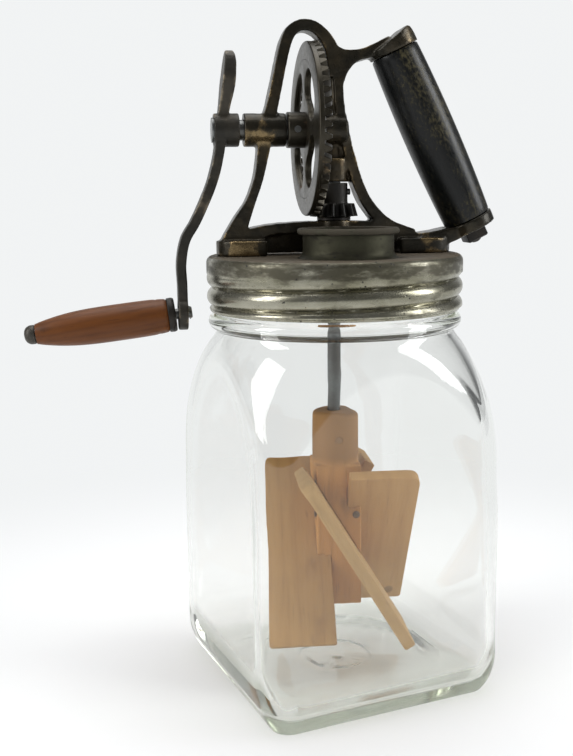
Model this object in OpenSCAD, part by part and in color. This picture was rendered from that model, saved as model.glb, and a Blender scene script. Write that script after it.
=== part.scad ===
// Glass jar butter churn: square jar, screw cap, cast frame with bevel drive, wooden dasher.
// Units are millimetres, +Z is up, +X runs along the crank axle toward the carrying handle.
// The origin is the middle of the jar's base.

/* [Jar] */
// Width of the square body across the flats
jar_side = 120; // [112:1:132]
// Radius of the upright corners
jar_corner_r = 17; // [12:1:24]
// Glass thickness of the sides
jar_wall = 4; // [3:0.5:6]
// Glass thickness of the bottom
jar_floor = 7; // [5:0.5:10]
// Height of the rim above the table
jar_h = 199.8; // [180:0.1:240]
// Angle between the jar's flats and the axle, set by where the thread stops
jar_turn = 14.5; // [-45:0.5:45]
// Outside radius of the neck under the cap
neck_r = 54.8; // [53:0.1:56]
// Glass thickness of the neck
neck_wall = 3.6; // [3:0.1:4.5]
// Height of the sloping shoulder
shoulder_h = 62; // [45:1:70]
// Radius of the heel where the sides meet the base
heel_r = 8.5; // [6:0.5:12]

/* [Screw cap] */
// Height of the cap from skirt edge to top
cap_h = 25; // [22:0.5:28]
// Thickness of the tinned sheet
cap_sheet = 0.6; // [0.4:0.1:1]
// How far the rolled beads stand out of the skirt
cap_bead = 2.4; // [1.6:0.1:2.8]
// Thickness of the rubber sealing ring
gasket_t = 1.8; // [1.2:0.1:3]

/* [Filler collar] */
// Outside width of the collar's wall
collar_d = 39.2; // [34:0.1:41]
// Outside width of the rolled rim
collar_rim_d = 44; // [42:0.1:46]
// Height of the rim above the cap
collar_h = 14.6; // [10:0.1:20]
// Distance of the collar from the dasher shaft
collar_out = 30.5; // [30:0.1:31]

/* [Frame] */
// Width of the arch strap, seen from the front
strap_w = 5.2; // [4:0.1:7]
// Depth of the arch strap, front to back
strap_deep = 10; // [8:0.5:13]
// Thickness of the flat web behind the gear
web_t = 5; // [4:0.5:7]
// Outside width of the axle bearings
boss_d = 14.8; // [13:0.1:17]
// Width of the two feet, front to back
foot_w = 22; // [18:1:24]
// Height of the two feet
foot_h = 7; // [5:0.5:9]
// Thickness of the skirt that closes the hollow base at the back
skirt_t = 3; // [2:0.5:5]
// Top of the lower shaft bearing above the cap
bearing_top = 15.4; // [14:0.1:18]
// Outside width of the shaft bearings
shaft_boss_d = 15; // [13:0.5:16]

/* [Carrying handle] */
// Width of the wooden grip at its middle
handle_d = 22.8; // [19:0.1:28]
// Width of the wooden grip at its ends
handle_end_d = 21.2; // [17:0.1:26]
// Lean of the grip away from upright
handle_lean = 25.5; // [20:0.5:30]
// Width of the bolt through the grip
handle_bolt_d = 6; // [5:0.5:7]
// Size of the square nut across its flats
handle_nut = 10; // [9:0.5:12]

/* [Gear pair] */
// Tooth size, pitch circle over tooth count
gear_module = 1.6; // [1.5:0.05:1.7]
// Teeth on the drive gear
gear_teeth = 48; // [44:4:52]
// Teeth on the pinion
pinion_teeth = 12; // [11:1:13]
// Length of the teeth along the cone
tooth_face = 6; // [4:0.5:7]
// Play between the teeth, as cast
backlash = 0.4; // [0.3:0.05:0.6]
// Width of the axle
axle_d = 9; // [7:0.5:10]
// Width of the four spokes between the gear's windows
gear_spoke = 6.4; // [5:0.1:9]
// Width of the gear's hub
gear_hub_d = 15.8; // [14:0.1:18]

/* [Crank] */
// Distance from the axle to the crank's eye
crank_r = 80.8; // [70:0.1:97]
// Distance from the dasher shaft to the middle of the crank's hub arm
crank_plane = 51; // [50.5:0.1:52]
// How far the eye stands out beyond the hub
crank_offset = 19; // [17:0.5:22]
// Thickness of the crank arm
crank_t = 4.4; // [3.6:0.1:6]
// Width of the crank arm
crank_w = 11; // [9:0.5:14]
// Length of the leaf-shaped tail above the hub
tail_len = 34; // [25:0.5:35]

/* [Crank grip] */
// Length of the wooden grip
grip_len = 59; // [48:1:72]
// Width of the wooden grip
grip_d = 16.6; // [13:0.1:20]
// Droop of the grip's spindle below level
grip_droop = 6.5; // [0:0.5:8]
// Width of the grip's spindle
spindle_d = 4.8; // [4:0.1:6]

/* [Dasher] */
// Width of the steel shaft
shaft_d = 6.2; // [5.5:0.1:7]
// Width of the round top of the wooden post
post_d = 21; // [18:0.5:24]
// Width of the square part of the post across its flats
post_side = 21; // [17:0.5:25]
// Height of the post's top above the table
post_top = 128.5; // [120:0.5:140]
// Height of the post's bottom above the table
post_foot = 36.5; // [32:0.5:42]
// Length of each blade
blade_len = 90; // [75:1:108]
// Reach of each blade from the shaft
blade_reach = 37; // [31:0.5:43]
// Thickness of each blade
blade_t = 5.5; // [4.5:0.1:6.5]
// Tilt of each blade away from upright
blade_tilt = 31; // [25:1:38]
// Distance of each blade's middle plane from the shaft, like the vanes of a pinwheel
blade_off = 6; // [4:0.5:6]
// Turn of the dasher at rest
dasher_turn = -4; // [-45:1:45]

/* [Fits] */
// Radial play of turning shafts
run_gap = 0.06; // [0.02:0.01:0.1]
// Radial play of fixed pins and rods
slip_gap = 0.04; // [0.02:0.01:0.1]
// Gap between neighbouring faces that turn past each other
face_gap = 0.4; // [0.3:0.05:0.8]
// Gap at each face of the sealing ring
seat_gap = 0.03; // [0.02:0.01:0.1]

/* [Hidden] */
$fn = 64;
e = 0.01;

// heights of the cap
cap_top = jar_h + gasket_t + 2 * seat_gap + cap_sheet;
cap_foot = cap_top - cap_h;
cap_in_r = neck_r + 0.9;
cap_groove_r = cap_in_r + cap_sheet;
cap_r = cap_groove_r + cap_bead;
mouth_r = neck_r - neck_wall;
shoulder_from = jar_h - shoulder_h - 33;
bead_h = 8;
cap_edge_r = 3;
shaft_room = 0.6;

// the gear pair: both pitch cones meet where axle and shaft cross
gear_pr = gear_module * gear_teeth / 2;
pinion_pr = gear_module * pinion_teeth / 2;
cone_len = norm([gear_pr, pinion_pr]);
cone_in = 1 - tooth_face / cone_len;
pinion_cone = atan2(pinion_pr, gear_pr);
tooth_up = 0.85 * gear_module;
tooth_down = 1.1 * gear_module;
pressure = 20;
pinion_root_r = pinion_pr - tooth_down - 0.2;
washer_t = 1;
pinion_seat = 0.6;
axle_z = cap_top + bearing_top + washer_t + pinion_seat + gear_pr;
gear_rim_t = 2.2;
gear_back = -pinion_pr - tooth_down - gear_rim_t;
gear_web_front = gear_back + 3;
gear_hub_end = -21.6;
gear_pin_d = 3;
pinion_pin_d = 2.8;
pinion_foot = cap_top + bearing_top + washer_t;
pinion_hub_d = 12.6;
pinion_top = pinion_foot + 15.6;

// the frame's bearings
boss_in = gear_hub_end - face_gap;
boss_out = boss_in - 19;
upper_bearing = pinion_top + face_gap;
upper_bearing_h = 10.5;
shaft_top = upper_bearing + upper_bearing_h - 2.5;
end_boss_in = -5.5;
end_boss_out = 5.5;
axle_end = end_boss_out - 2.5;

// the heights at which the frame's outlines are drawn
axle_drawn = 55.4;
bearing_drawn = 15.4;

// the feet
left_foot_x = -43.2;
right_foot_x = 43.6;
skirt_from = left_foot_x + foot_w / 2 - 4;
skirt_to = right_foot_x - foot_w / 2 - 1;
rivet_d = 4;
rivet_y = 6;
rivet_deep = 5;

// the handle's ends, in the plane of the frame
handle_top = [27.9, axle_z + 34.2];
handle_len = (handle_top[1] - cap_top - 15.2) / cos(handle_lean);
cheek_r = handle_end_d / 2 + 1;
socket_t = 5.5;
handle_nut_t = 5;
handle_bolt_in = 3.8;
handle_bolt_past = 1.6;
lower_arm_deep = 16;

// the crank
crank_hub_d = 14.6;
crank_hub_out = -crank_plane - crank_t / 2 - 1;
crank_hub_in = boss_out - 2;
eye_x = -crank_plane - crank_offset;
eye_z = axle_z - crank_r;
eye_r = 7.6;
tail_w = 16.5;

// the reach and offset at which the crank's side is drawn
crank_drawn = 80.8;
offset_drawn = 19;

// the crank grip, measured outward along its spindle from the middle of the eye
ferrule_r = 7.8;
ferrule_from = crank_t / 2 + ferrule_r * sin(grip_droop) + face_gap;
ferrule_len = 3.4;
grip_from = ferrule_from + ferrule_len;
grip_to = grip_from + grip_len;
tip_from = grip_to + face_gap;
tip_len = 4.8;
tip_r = spindle_d / 2 + 1.4;
tip_in = tip_len * 0.55;

// the dasher
blade_root = 4;
blade_mid = post_foot + 26.5;
nail_in = 4;
nail_up = 18;
post_bore = 46;
dasher_pin_d = 3;
blade_nail_d = 1.8;
nail_len = 13;
post_round = 24;

glass_col = [0.80, 0.88, 0.86, 0.45];
tin_col = [0.55, 0.54, 0.47];
iron_col = [0.22, 0.19, 0.16];
steel_col = [0.48, 0.46, 0.43];
black_col = [0.08, 0.08, 0.07];
red_wood_col = [0.42, 0.20, 0.12];
pale_wood_col = [0.76, 0.62, 0.43];
rubber_col = [0.45, 0.22, 0.17];

// curves and helpers

function knot(p, i) = p[max(0, min(len(p) - 1, i))];
function blend(a, b, c, d, t) =
    0.5 * (2 * b + (c - a) * t + (2 * a - 5 * b + 4 * c - d) * t * t + (3 * b - a - 3 * c + d) * t * t * t);
function curve(p, n = 5) = concat(
    [for (i = [0:len(p) - 2]) for (k = [0:n - 1])
        blend(knot(p, i - 1), knot(p, i), knot(p, i + 1), knot(p, i + 2), k / n)],
    [p[len(p) - 1]]
);
function way(c, i) = let (d = knot(c, i + 1) - knot(c, i - 1)) [d[0], d[1]] / norm([d[0], d[1]]);
function edge(c, i, s) = let (d = way(c, i), w = s * c[i][2] / 2) [c[i][0] - w * d[1], c[i][1] + w * d[0]];

// a strap of changing width along a smooth line through a few points [x, height, width]
module strap(p) {
    c = curve(p);
    n = len(c) - 1;
    polygon(concat([for (i = [0:n]) edge(c, i, 1)], [for (i = [n:-1:0]) edge(c, i, -1)]));
}

// stands a flat outline up in the plane of the frame
module upright(deep) {
    rotate([90, 0, 0])
        linear_extrude(deep, center = true)
            children();
}

// a height above the cap that follows the height of the axle
function rise(v) = cap_top + v * (axle_z - cap_top) / axle_drawn;

// a height that clears the top of the drive gear
function over(v) = axle_z + gear_pr + v;

// a height that follows the lower shaft bearing
function seat(v) = cap_top + v * bearing_top / bearing_drawn;

module rod_x(r, x0, x1, z) {
    translate([x0, 0, z])
        rotate([0, 90, 0])
            cylinder(r = r, h = x1 - x0);
}

// turns the local Z axis onto the handle, from its top end downward
module along_handle() {
    translate([handle_top[0], 0, handle_top[1]])
        rotate([0, 180 - handle_lean, 0])
            children();
}

// turns the local Z axis onto the grip's spindle, from the eye outward
module along_spindle() {
    translate([eye_x, 0, eye_z])
        rotate([0, -90 - grip_droop, 0])
            children();
}

// jar

module rounded_square(side, r) {
    d = side / 2 - r;
    square([side, 2 * d], center = true);
    square([2 * d, side], center = true);
    for (x = [-d, d], y = [-d, d])
        translate([x, y])
            circle(r = r);
}

// upright section with a round heel at both lower corners
module heel_section(side, r, z0, z1) {
    translate([-side / 2, z0 + r])
        square([side, z1 - z0 - r]);
    translate([-side / 2 + r, z0])
        square([side - 2 * r, r + e]);
    for (x = [-side / 2 + r, side / 2 - r])
        translate([x, z0 + r])
            circle(r = r);
}

function corner_reach(side, r) = side / sqrt(2) - r * (sqrt(2) - 1);

// outline that the corners follow from the body up over the shoulder to the neck
function shoulder_curve(r0, r1, z1, h) =
    [for (k = [0:8]) let (t = k / 8) [r0 + (r1 - r0) * pow(1 - pow(t, 1.75), 1 / 1.15), z1 + h * t]];

module jar_outline(side, r, neck, foot_r, z0, z1, from) {
    reach = corner_reach(side, r);
    intersection() {
        translate([0, 0, z0])
            linear_extrude(z1 - z0)
                rounded_square(side, r);
        upright(2 * side)
            heel_section(side, foot_r, z0, z1);
        rotate([0, 0, 90])
            upright(2 * side)
                heel_section(side, foot_r, z0, z1);
        rotate_extrude()
            polygon(concat(
                [[0, z0]],
                curve([[reach - foot_r * 0.95, z0], [reach - foot_r * 0.46, z0 + foot_r * 0.5],
                    [reach - foot_r * 0.1, z0 + foot_r * 1.5], [reach, z0 + foot_r * 2.8]], 3),
                shoulder_curve(neck, reach, from, shoulder_h),
                [[neck, z1], [0, z1]]
            ));
    }
}

module glass_jar() {
    color(glass_col)
        rotate([0, 0, jar_turn])
            difference() {
                union() {
                    jar_outline(jar_side, jar_corner_r, neck_r, heel_r, 0, jar_h, shoulder_from);
                    // bead below the cap
                    rotate_extrude()
                        translate([neck_r, cap_foot - 4.6])
                            circle(r = cap_r - neck_r - 0.4);
                }
                jar_outline(jar_side - 2 * jar_wall, jar_corner_r - jar_wall, mouth_r,
                    heel_r - 2, jar_floor, jar_h - 12, shoulder_from - 2);
                translate([0, 0, jar_h - 13])
                    cylinder(r = mouth_r, h = 14);
            }
}

// cap and what is fixed in it

module cap_section(less) {
    square([cap_groove_r - less, cap_h - less]);
    translate([cap_r - cap_edge_r - less, cap_h - cap_edge_r - less])
        intersection() {
            circle(r = cap_edge_r);
            square(cap_edge_r);
        }
    translate([0, cap_h - cap_edge_r - less])
        square([cap_r - cap_edge_r - less, cap_edge_r]);
    translate([0, cap_h - 8.5 + less / 2])
        square([cap_r - less, 5.5 - less * 1.4]);
    for (k = [0, 1])
        translate([cap_groove_r, cap_h - 13 - k * bead_h])
            circle(r = cap_bead - less);
}

module cap_hole(x, y, r) {
    translate([x, y, cap_top - 4])
        cylinder(r = r, h = 8);
}

module screw_cap() {
    color(tin_col)
        difference() {
            translate([0, 0, cap_foot])
                rotate_extrude()
                    difference() {
                        cap_section(0);
                        cap_section(cap_sheet);
                        translate([0, -1])
                            square([cap_in_r, 1 + e]);
                    }
            cap_hole(0, 0, shaft_d / 2 + shaft_room);
            cap_hole(0, -collar_out, collar_d / 2 + slip_gap);
            for (x = [left_foot_x, right_foot_x], y = [-rivet_y, rivet_y])
                cap_hole(x, y, rivet_d / 2 + slip_gap);
        }
}

module gasket() {
    color(rubber_col)
        translate([0, 0, jar_h + seat_gap])
            difference() {
                cylinder(r = neck_r - 0.2, h = gasket_t);
                translate([0, 0, -e])
                    cylinder(r = mouth_r + 0.6, h = gasket_t + 2 * e);
            }
}

collar_wall = 0.8;
collar_edge = 1.2;
collar_ledge = 0.8;
collar_foot = cap_top - cap_sheet - collar_edge;
strainer_t = 0.6;
strainer_pitch = 4.6;
strainer_hole_r = 1.4;

module filler_collar() {
    r = collar_d / 2;
    rim = (collar_rim_d - collar_d) / 4 + collar_wall / 4;
    color(tin_col)
        translate([0, -collar_out, 0])
            rotate_extrude()
                union() {
                    translate([r - collar_wall, collar_foot])
                        square([collar_wall, cap_top + collar_h - rim - collar_foot]);
                    translate([collar_rim_d / 2 - rim, cap_top + collar_h - rim])
                        circle(r = rim);
                    // edge spun over under the cap
                    translate([r - collar_wall, collar_foot])
                        square([collar_wall + 0.6, collar_edge]);
                    // seat of the strainer
                    translate([r - collar_wall - 1.4, collar_foot])
                        square([1.8, collar_ledge]);
                }
}

module strainer_disc() {
    color(tin_col)
        translate([0, -collar_out, collar_foot + collar_ledge])
            difference() {
                cylinder(r = collar_d / 2 - collar_wall - 0.1, h = strainer_t);
                for (ring = [0:3])
                    for (k = [0:max(0, ring * 6 - 1)])
                        rotate([0, 0, k * 360 / max(1, ring * 6)])
                            translate([ring * strainer_pitch, 0, -1])
                                cylinder(r = strainer_hole_r, h = 3);
            }
}

// frame

function right_edge() = curve([
    [1.6, rise(90.8)], [3.6, rise(85)], [3.8, rise(76.4)], [4.9, rise(62.5)], [8.1, rise(48)],
    [12.8, rise(32.4)], [18.6, rise(22.4)], [27.2, rise(14.1)], [38, rise(9.4)]
]);

module web_outline() {
    polygon(concat(
        right_edge(),
        [[38, rise(3)], [22, rise(8)], [16.8, rise(12)], [16, rise(17)], [8.6, upper_bearing]],
        [[-3, upper_bearing], [-4.6, rise(40)], [-5, rise(50)], [-5, rise(70)], [-4, rise(88)]]
    ));
}

module arch() {
    w = strap_w;
    strap([
        [-31.2, rise(56), w + 1.6], [-28.4, rise(65), w + 0.3], [-25, rise(80), w], [-22, over(-1.6), w],
        [-18.8, over(4.2), w], [-13.6, over(6.3), w - 0.3], [-8, over(4.6), w], [-3.4, over(-0.2), w + 0.6],
        [-0.6, rise(87), w + 1.4], [0.2, rise(78), w + 3]
    ]);
}

module left_leg() {
    w = strap_w;
    strap([
        [-31.9, rise(52), w + 2.4], [-32.7, rise(45), w + 0.2], [-34.9, rise(34), w - 0.8],
        [-38.6, rise(24), w - 0.6], [-43.3, rise(14.5), w + 2.4], [-46.5, rise(6), w + 6],
        [-47, rise(2), w + 8]
    ]);
}

function bar_line() = [
    [-46, seat(5.5), 8], [-38, seat(9.4), 6], [-28, seat(11.6), 5], [-16, seat(12.4), 5],
    [0, seat(12.5), 5], [14, seat(12.2), 5.4], [26, seat(9.6), 7], [38, seat(5), 8]
];

module base_bar() {
    strap(bar_line());
}

// the base is hollow below its bar, and closed at the back by a skirt from foot to foot
module base_skirt() {
    polygon(concat(
        [for (p = curve(bar_line())) if (p[0] > skirt_from && p[0] < skirt_to) [p[0], p[1]]],
        [[skirt_to, cap_top + face_gap], [skirt_from, cap_top + face_gap]]
    ));
}

// the rim that stands out on both faces of the web, along its outer edge
module web_rim() {
    strap([
        [-0.4, rise(88), 5], [1.4, rise(82), 4.6], [1.6, rise(74), 4.4], [2.7, rise(61.5), 4.4],
        [5.9, rise(47), 4.6], [10.6, rise(31.2), 5], [16.2, rise(20.8), 5.4], [24.6, rise(12.6), 6],
        [36, rise(7), 8]
    ]);
}

module upper_arm() {
    top = handle_top[1];
    strap([
        [-1, top - 2.8, 11], [4, top - 3, 7], [9, top - 2.3, 5.2], [14, top - 1.2, 5],
        [20, top + 1, 5.6], [26, top + 3.6, 6.4]
    ]);
}

// the rounded corner between the arm and the web's outer edge
module arm_fillet() {
    top = handle_top[1];
    polygon(concat(curve([[14, top - 3.2], [9, top - 5.8], [5.8, top - 9.6], [3.8, top - 15]]),
        [[1, top - 15], [1, top - 3]]));
}

// the cheek over the handle's top end, seen from the front
module cheek_outline() {
    c = cos(handle_lean);
    s = sin(handle_lean);
    r = cheek_r;
    function at(u, v) = handle_top + [u * c - v * s, u * s + v * c];
    polygon(concat(
        [at(-r, 0)],
        curve([at(-r, 3.4), at(-4, 5), at(3, 6.6), at(7.4, 7.8), at(9.4, 6.8), at(r - 1.2, 3.4)], 4),
        [at(r - 0.8, 0)]
    ));
}

module lower_arm() {
    c = cos(handle_lean);
    s = sin(handle_lean);
    mid = handle_top + [s, -c] * (handle_len + socket_t / 2);
    strap([
        [40, cap_top + 4.6, 9], [47, cap_top + 6, 8], [mid[0] - 9 * c, mid[1] - 9 * s, 6.4],
        [mid[0], mid[1], socket_t]
    ]);
}

// a foot is round at its outer end and square at its inner end
module foot(x, way) {
    translate([x, 0, cap_top])
        linear_extrude(foot_h)
            union() {
                circle(r = foot_w / 2);
                translate([way < 0 ? 0 : -foot_w / 2 - 4, -foot_w / 2])
                    square([foot_w / 2 + (way < 0 ? 0 : 4), foot_w]);
            }
}

module cast_frame() {
    color(iron_col)
        difference() {
            union() {
                upright(strap_deep)
                    union() {
                        arch();
                        left_leg();
                        upper_arm();
                        arm_fillet();
                        web_rim();
                    }
                translate([0, (foot_w - strap_deep) / 4, 0])
                    upright((foot_w + strap_deep) / 2)
                        base_bar();
                translate([0, (foot_w - skirt_t) / 2, 0])
                    upright(skirt_t)
                        base_skirt();
                upright(web_t)
                    web_outline();
                upright(lower_arm_deep)
                    lower_arm();
                intersection() {
                    upright(3 * cheek_r)
                        cheek_outline();
                    along_handle()
                        translate([0, 0, -20])
                            cylinder(r = cheek_r, h = 40);
                }
                along_handle()
                    translate([0, 0, handle_len])
                        cylinder(r = cheek_r, h = socket_t);
                foot(left_foot_x, -1);
                foot(right_foot_x, 1);
                rod_x(boss_d / 2, boss_out, boss_in, axle_z);
                rod_x(boss_d / 2, end_boss_in, end_boss_out, axle_z);
                translate([0, 0, cap_top + 6])
                    cylinder(d = shaft_boss_d, h = bearing_top - 6);
                translate([0, 0, upper_bearing])
                    cylinder(d = shaft_boss_d - 2, h = upper_bearing_h);
            }
            // bearings
            rod_x(axle_d / 2 + run_gap, boss_out - 1, boss_in + 1, axle_z);
            rod_x(axle_d / 2 + run_gap, end_boss_in - 1, axle_end + face_gap, axle_z);
            translate([0, 0, cap_top])
                cylinder(r = shaft_d / 2 + run_gap, h = bearing_top + 1);
            translate([0, 0, upper_bearing - 1])
                cylinder(r = shaft_d / 2 + run_gap, h = shaft_top + face_gap - upper_bearing + 1);
            // room for the handle, its bolt and its nut, and holes for the rivets
            along_handle()
                cylinder(r = handle_d / 2 + 0.6, h = handle_len);
            along_handle()
                translate([0, 0, -4])
                    cylinder(r = handle_bolt_d / 2 + slip_gap, h = handle_len + socket_t + 8);
            along_handle()
                translate([0, 0, handle_len + socket_t])
                    cylinder(r = handle_nut * 0.78, h = handle_nut_t + 3);
            for (x = [left_foot_x, right_foot_x], y = [-rivet_y, rivet_y])
                translate([x, y, cap_top - 1])
                    cylinder(r = rivet_d / 2 + slip_gap, h = rivet_deep + 1);
        }
}

module frame_rivets() {
    color(steel_col)
        for (x = [left_foot_x, right_foot_x], y = [-rivet_y, rivet_y])
            translate([x, y, 0])
                union() {
                    translate([0, 0, cap_top - cap_sheet - 1.4])
                        cylinder(r1 = rivet_d * 0.6, r2 = rivet_d, h = 1.4);
                    translate([0, 0, cap_top - cap_sheet - e])
                        cylinder(d = rivet_d, h = rivet_deep + cap_sheet - 0.2);
                }
}

// carrying handle

module handle_grip() {
    n = 8;
    color(black_col)
        along_handle()
            difference() {
                rotate_extrude()
                    polygon(concat(
                        [[0, 0], [handle_end_d / 2 - 0.6, 0]],
                        [for (k = [0:n]) let (t = k / n)
                            [handle_end_d / 2 + (handle_d - handle_end_d) / 2 * sin(180 * t),
                                0.6 + t * (handle_len - 1.2)]],
                        [[handle_end_d / 2 - 0.6, handle_len], [0, handle_len]]
                    ));
                translate([0, 0, -1])
                    cylinder(r = handle_bolt_d / 2 + slip_gap, h = handle_len + 2);
            }
}

module handle_bolt() {
    color(steel_col)
        along_handle()
            translate([0, 0, -handle_bolt_in])
                cylinder(d = handle_bolt_d,
                    h = handle_bolt_in + handle_len + socket_t + handle_nut_t + handle_bolt_past);
}

module handle_nut() {
    color(steel_col)
        along_handle()
            translate([0, 0, handle_len + socket_t])
                difference() {
                    translate([-handle_nut / 2, -handle_nut / 2, 0])
                        cube([handle_nut, handle_nut, handle_nut_t]);
                    translate([0, 0, -1])
                        cylinder(r = handle_bolt_d / 2 + slip_gap, h = 8);
                }
}

// axle and drive gear

module axle() {
    color(steel_col)
        difference() {
            union() {
                rod_x(axle_d / 2, crank_hub_out - 0.2, axle_end, axle_z);
                rod_x(axle_d / 2 + 0.9, crank_hub_out - 0.9, crank_hub_out, axle_z);
            }
            gear_cross(gear_pin_d / 2 + slip_gap, 30);
        }
}

module gear_cross(r, len) {
    translate([(gear_hub_end + gear_back) / 2, 0, axle_z])
        rotate([90, 0, 0])
            cylinder(r = r, h = len, center = true);
}

// one tooth of the wide bevel ring as points [across the tooth, up its height], drawn at the large end
gear_half = PI * gear_module / 4 - backlash / 4;
slope = tan(pressure);
gear_tooth = [
    [-gear_half - tooth_down * slope, -tooth_down], [-gear_half + tooth_up * slope, tooth_up],
    [gear_half - tooth_up * slope, tooth_up], [gear_half + tooth_down * slope, -tooth_down]
];

function gear_point(i, p, k) = let (
    a = (i + p[0] / (PI * gear_module)) * 360 / gear_teeth - 90,
    r = k * (gear_pr + p[1] * sin(pinion_cone)),
    x = k * (-pinion_pr + p[1] * cos(pinion_cone))
) [x, r * cos(a), axle_z + r * sin(a)];
function ring_quads(n, a, b) = [for (i = [0:n - 1]) [a + i, a + (i + 1) % n, b + (i + 1) % n, b + i]];
function back_to(p, x) = [for (v = p) [x, v[1], v[2]]];

module gear_teeth_ring() {
    big = [for (i = [0:gear_teeth - 1]) for (p = gear_tooth) gear_point(i, p, 1)];
    small = [for (i = [0:gear_teeth - 1]) for (p = gear_tooth) gear_point(i, p, cone_in)];
    n = len(big);
    polyhedron(
        points = concat(big, small, back_to(big, gear_back), back_to(small, gear_back)),
        faces = concat(
            ring_quads(n, n, 0), ring_quads(n, 3 * n, n), ring_quads(n, 0, 2 * n), ring_quads(n, 2 * n, 3 * n)
        )
    );
}

// one of the four windows between the spokes, with round ends
module gear_window() {
    inner = gear_hub_d / 2 + 5.6;
    outer = gear_pr * cone_in - 4.4;
    mid = (inner + outer) / 2;
    half = 45 - asin((outer - inner) / 2 / mid) - asin(gear_spoke / 2 / mid);
    translate([0, 0, axle_z])
        rotate([0, 90, 0])
            translate([0, 0, gear_back - 1])
                linear_extrude(8)
                    for (q = [0:3])
                        rotate(q * 90 + 45)
                            union() {
                                intersection() {
                                    difference() {
                                        circle(r = outer);
                                        circle(r = inner);
                                    }
                                    polygon([[0, 0], [60, -60 * tan(half)], [60, 60 * tan(half)]]);
                                }
                                for (s = [-1, 1])
                                    rotate(s * half)
                                        translate([mid, 0])
                                            circle(d = outer - inner);
                            }
}

module drive_gear() {
    color(steel_col)
        difference() {
            union() {
                gear_teeth_ring();
                rod_x(gear_pr * cone_in, gear_back, gear_web_front, axle_z);
                rod_x(gear_hub_d / 2, gear_hub_end, gear_web_front + 1.6, axle_z);
            }
            gear_window();
            rod_x(axle_d / 2 + slip_gap, gear_hub_end - 1, gear_web_front + 4, axle_z);
            gear_cross(gear_pin_d / 2 + slip_gap, 30);
        }
}

module gear_pin() {
    color(steel_col)
        gear_cross(gear_pin_d / 2, gear_hub_d + 0.6);
}

// crank

module crank_side() {
    z = axle_z;
    x = -crank_plane;
    k = crank_r / crank_drawn;
    d = crank_offset / offset_drawn;
    t = crank_t;
    strap([
        [x + 4.2, z + tail_len, t * 0.8], [x + 4.4, z + tail_len * 0.85, t * 1.15],
        [x + 3.3, z + tail_len * 0.55, t * 1.3], [x + 1.6, z + tail_len * 0.28, t * 1.1], [x, z, t],
        [x - 1.2 * d, z - 10 * k, t], [x - 4.8 * d, z - 23.3 * k, t],
        [x - 12 * d, z - 39.1 * k, t], [x - 17.1 * d, z - 47.7 * k, t], [x - 19.2 * d, z - 58 * k, t],
        [x - 19 * d, z - 69 * k, t], [x - 19 * d, z - crank_r - eye_r - 1, t]
    ]);
}

// the crank as seen along the axle
module crank_face() {
    w = crank_w / 2;
    translate([0, axle_z])
        union() {
            circle(d = crank_hub_d);
            translate([0, -crank_r])
                circle(r = eye_r);
            polygon([
                [-w - 0.6, 0], [-w, -20], [-w + 0.8, -crank_r],
                [w - 0.8, -crank_r], [w, -20], [w + 0.6, 0]
            ]);
            polygon(
                curve([
                    [w * 0.8, 0], [w * 0.82, 9], [tail_w / 2, tail_len * 0.62],
                    [tail_w * 0.36, tail_len * 0.92], [0, tail_len], [-tail_w * 0.36, tail_len * 0.92],
                    [-tail_w / 2, tail_len * 0.62], [-w * 0.82, 9], [-w * 0.8, 0]
                ])
            );
        }
}

module crank_arm() {
    color(iron_col)
        difference() {
            union() {
                intersection() {
                    upright(40)
                        crank_side();
                    translate([-150, 0, 0])
                        rotate([90, 0, 90])
                            linear_extrude(150)
                                crank_face();
                }
                rod_x(crank_hub_d / 2, crank_hub_out, crank_hub_in, axle_z);
            }
            rod_x(axle_d / 2 + slip_gap, crank_hub_out - 2, crank_hub_in + 2, axle_z);
            along_spindle()
                translate([0, 0, -10])
                    cylinder(r = spindle_d / 2 + slip_gap, h = 20);
        }
}

// crank grip on its spindle

module grip_spindle() {
    color(steel_col)
        along_spindle()
            union() {
                translate([0, 0, -crank_t / 2 - 1.8])
                    cylinder(d = spindle_d, h = tip_from + tip_in + crank_t / 2 + 1.8);
                translate([0, 0, -crank_t / 2 - 1.9])
                    cylinder(d1 = spindle_d, d2 = spindle_d + 1.6, h = 1.4);
            }
}

module spindle_tip() {
    color(iron_col)
        along_spindle()
            difference() {
                translate([0, 0, tip_from])
                    rotate_extrude()
                        intersection() {
                            translate([0, tip_len - tip_r * 1.2])
                                circle(r = tip_r * 1.2);
                            square([tip_r, tip_len]);
                        }
                translate([0, 0, tip_from - 1])
                    cylinder(r = spindle_d / 2 + slip_gap, h = tip_in + 1.1);
            }
}

module grip_ferrule() {
    color(iron_col)
        along_spindle()
            difference() {
                translate([0, 0, ferrule_from])
                    rotate_extrude()
                        union() {
                            square([ferrule_r - 0.5, ferrule_len]);
                            translate([0, 0.6])
                                square([ferrule_r, ferrule_len - 1.2]);
                        }
                cylinder(r = spindle_d / 2 + run_gap, h = 20);
            }
}

module crank_grip() {
    r = grip_d / 2;
    color(red_wood_col)
        along_spindle()
            difference() {
                translate([0, 0, grip_from])
                    rotate_extrude()
                        polygon(concat(
                            [[0, 0]],
                            curve([
                                [r * 0.9, 0], [r * 0.96, grip_len * 0.1], [r * 0.985, grip_len * 0.25],
                                [r, grip_len * 0.45], [r * 0.95, grip_len * 0.64], [r * 0.8, grip_len * 0.84],
                                [r * 0.62, grip_len * 0.96], [tip_r + 0.3, grip_len]
                            ], 3),
                            [[0, grip_len]]
                        ));
                cylinder(r = spindle_d / 2 + run_gap, h = grip_to + 10);
            }
}

// pinion and dasher shaft

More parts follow.
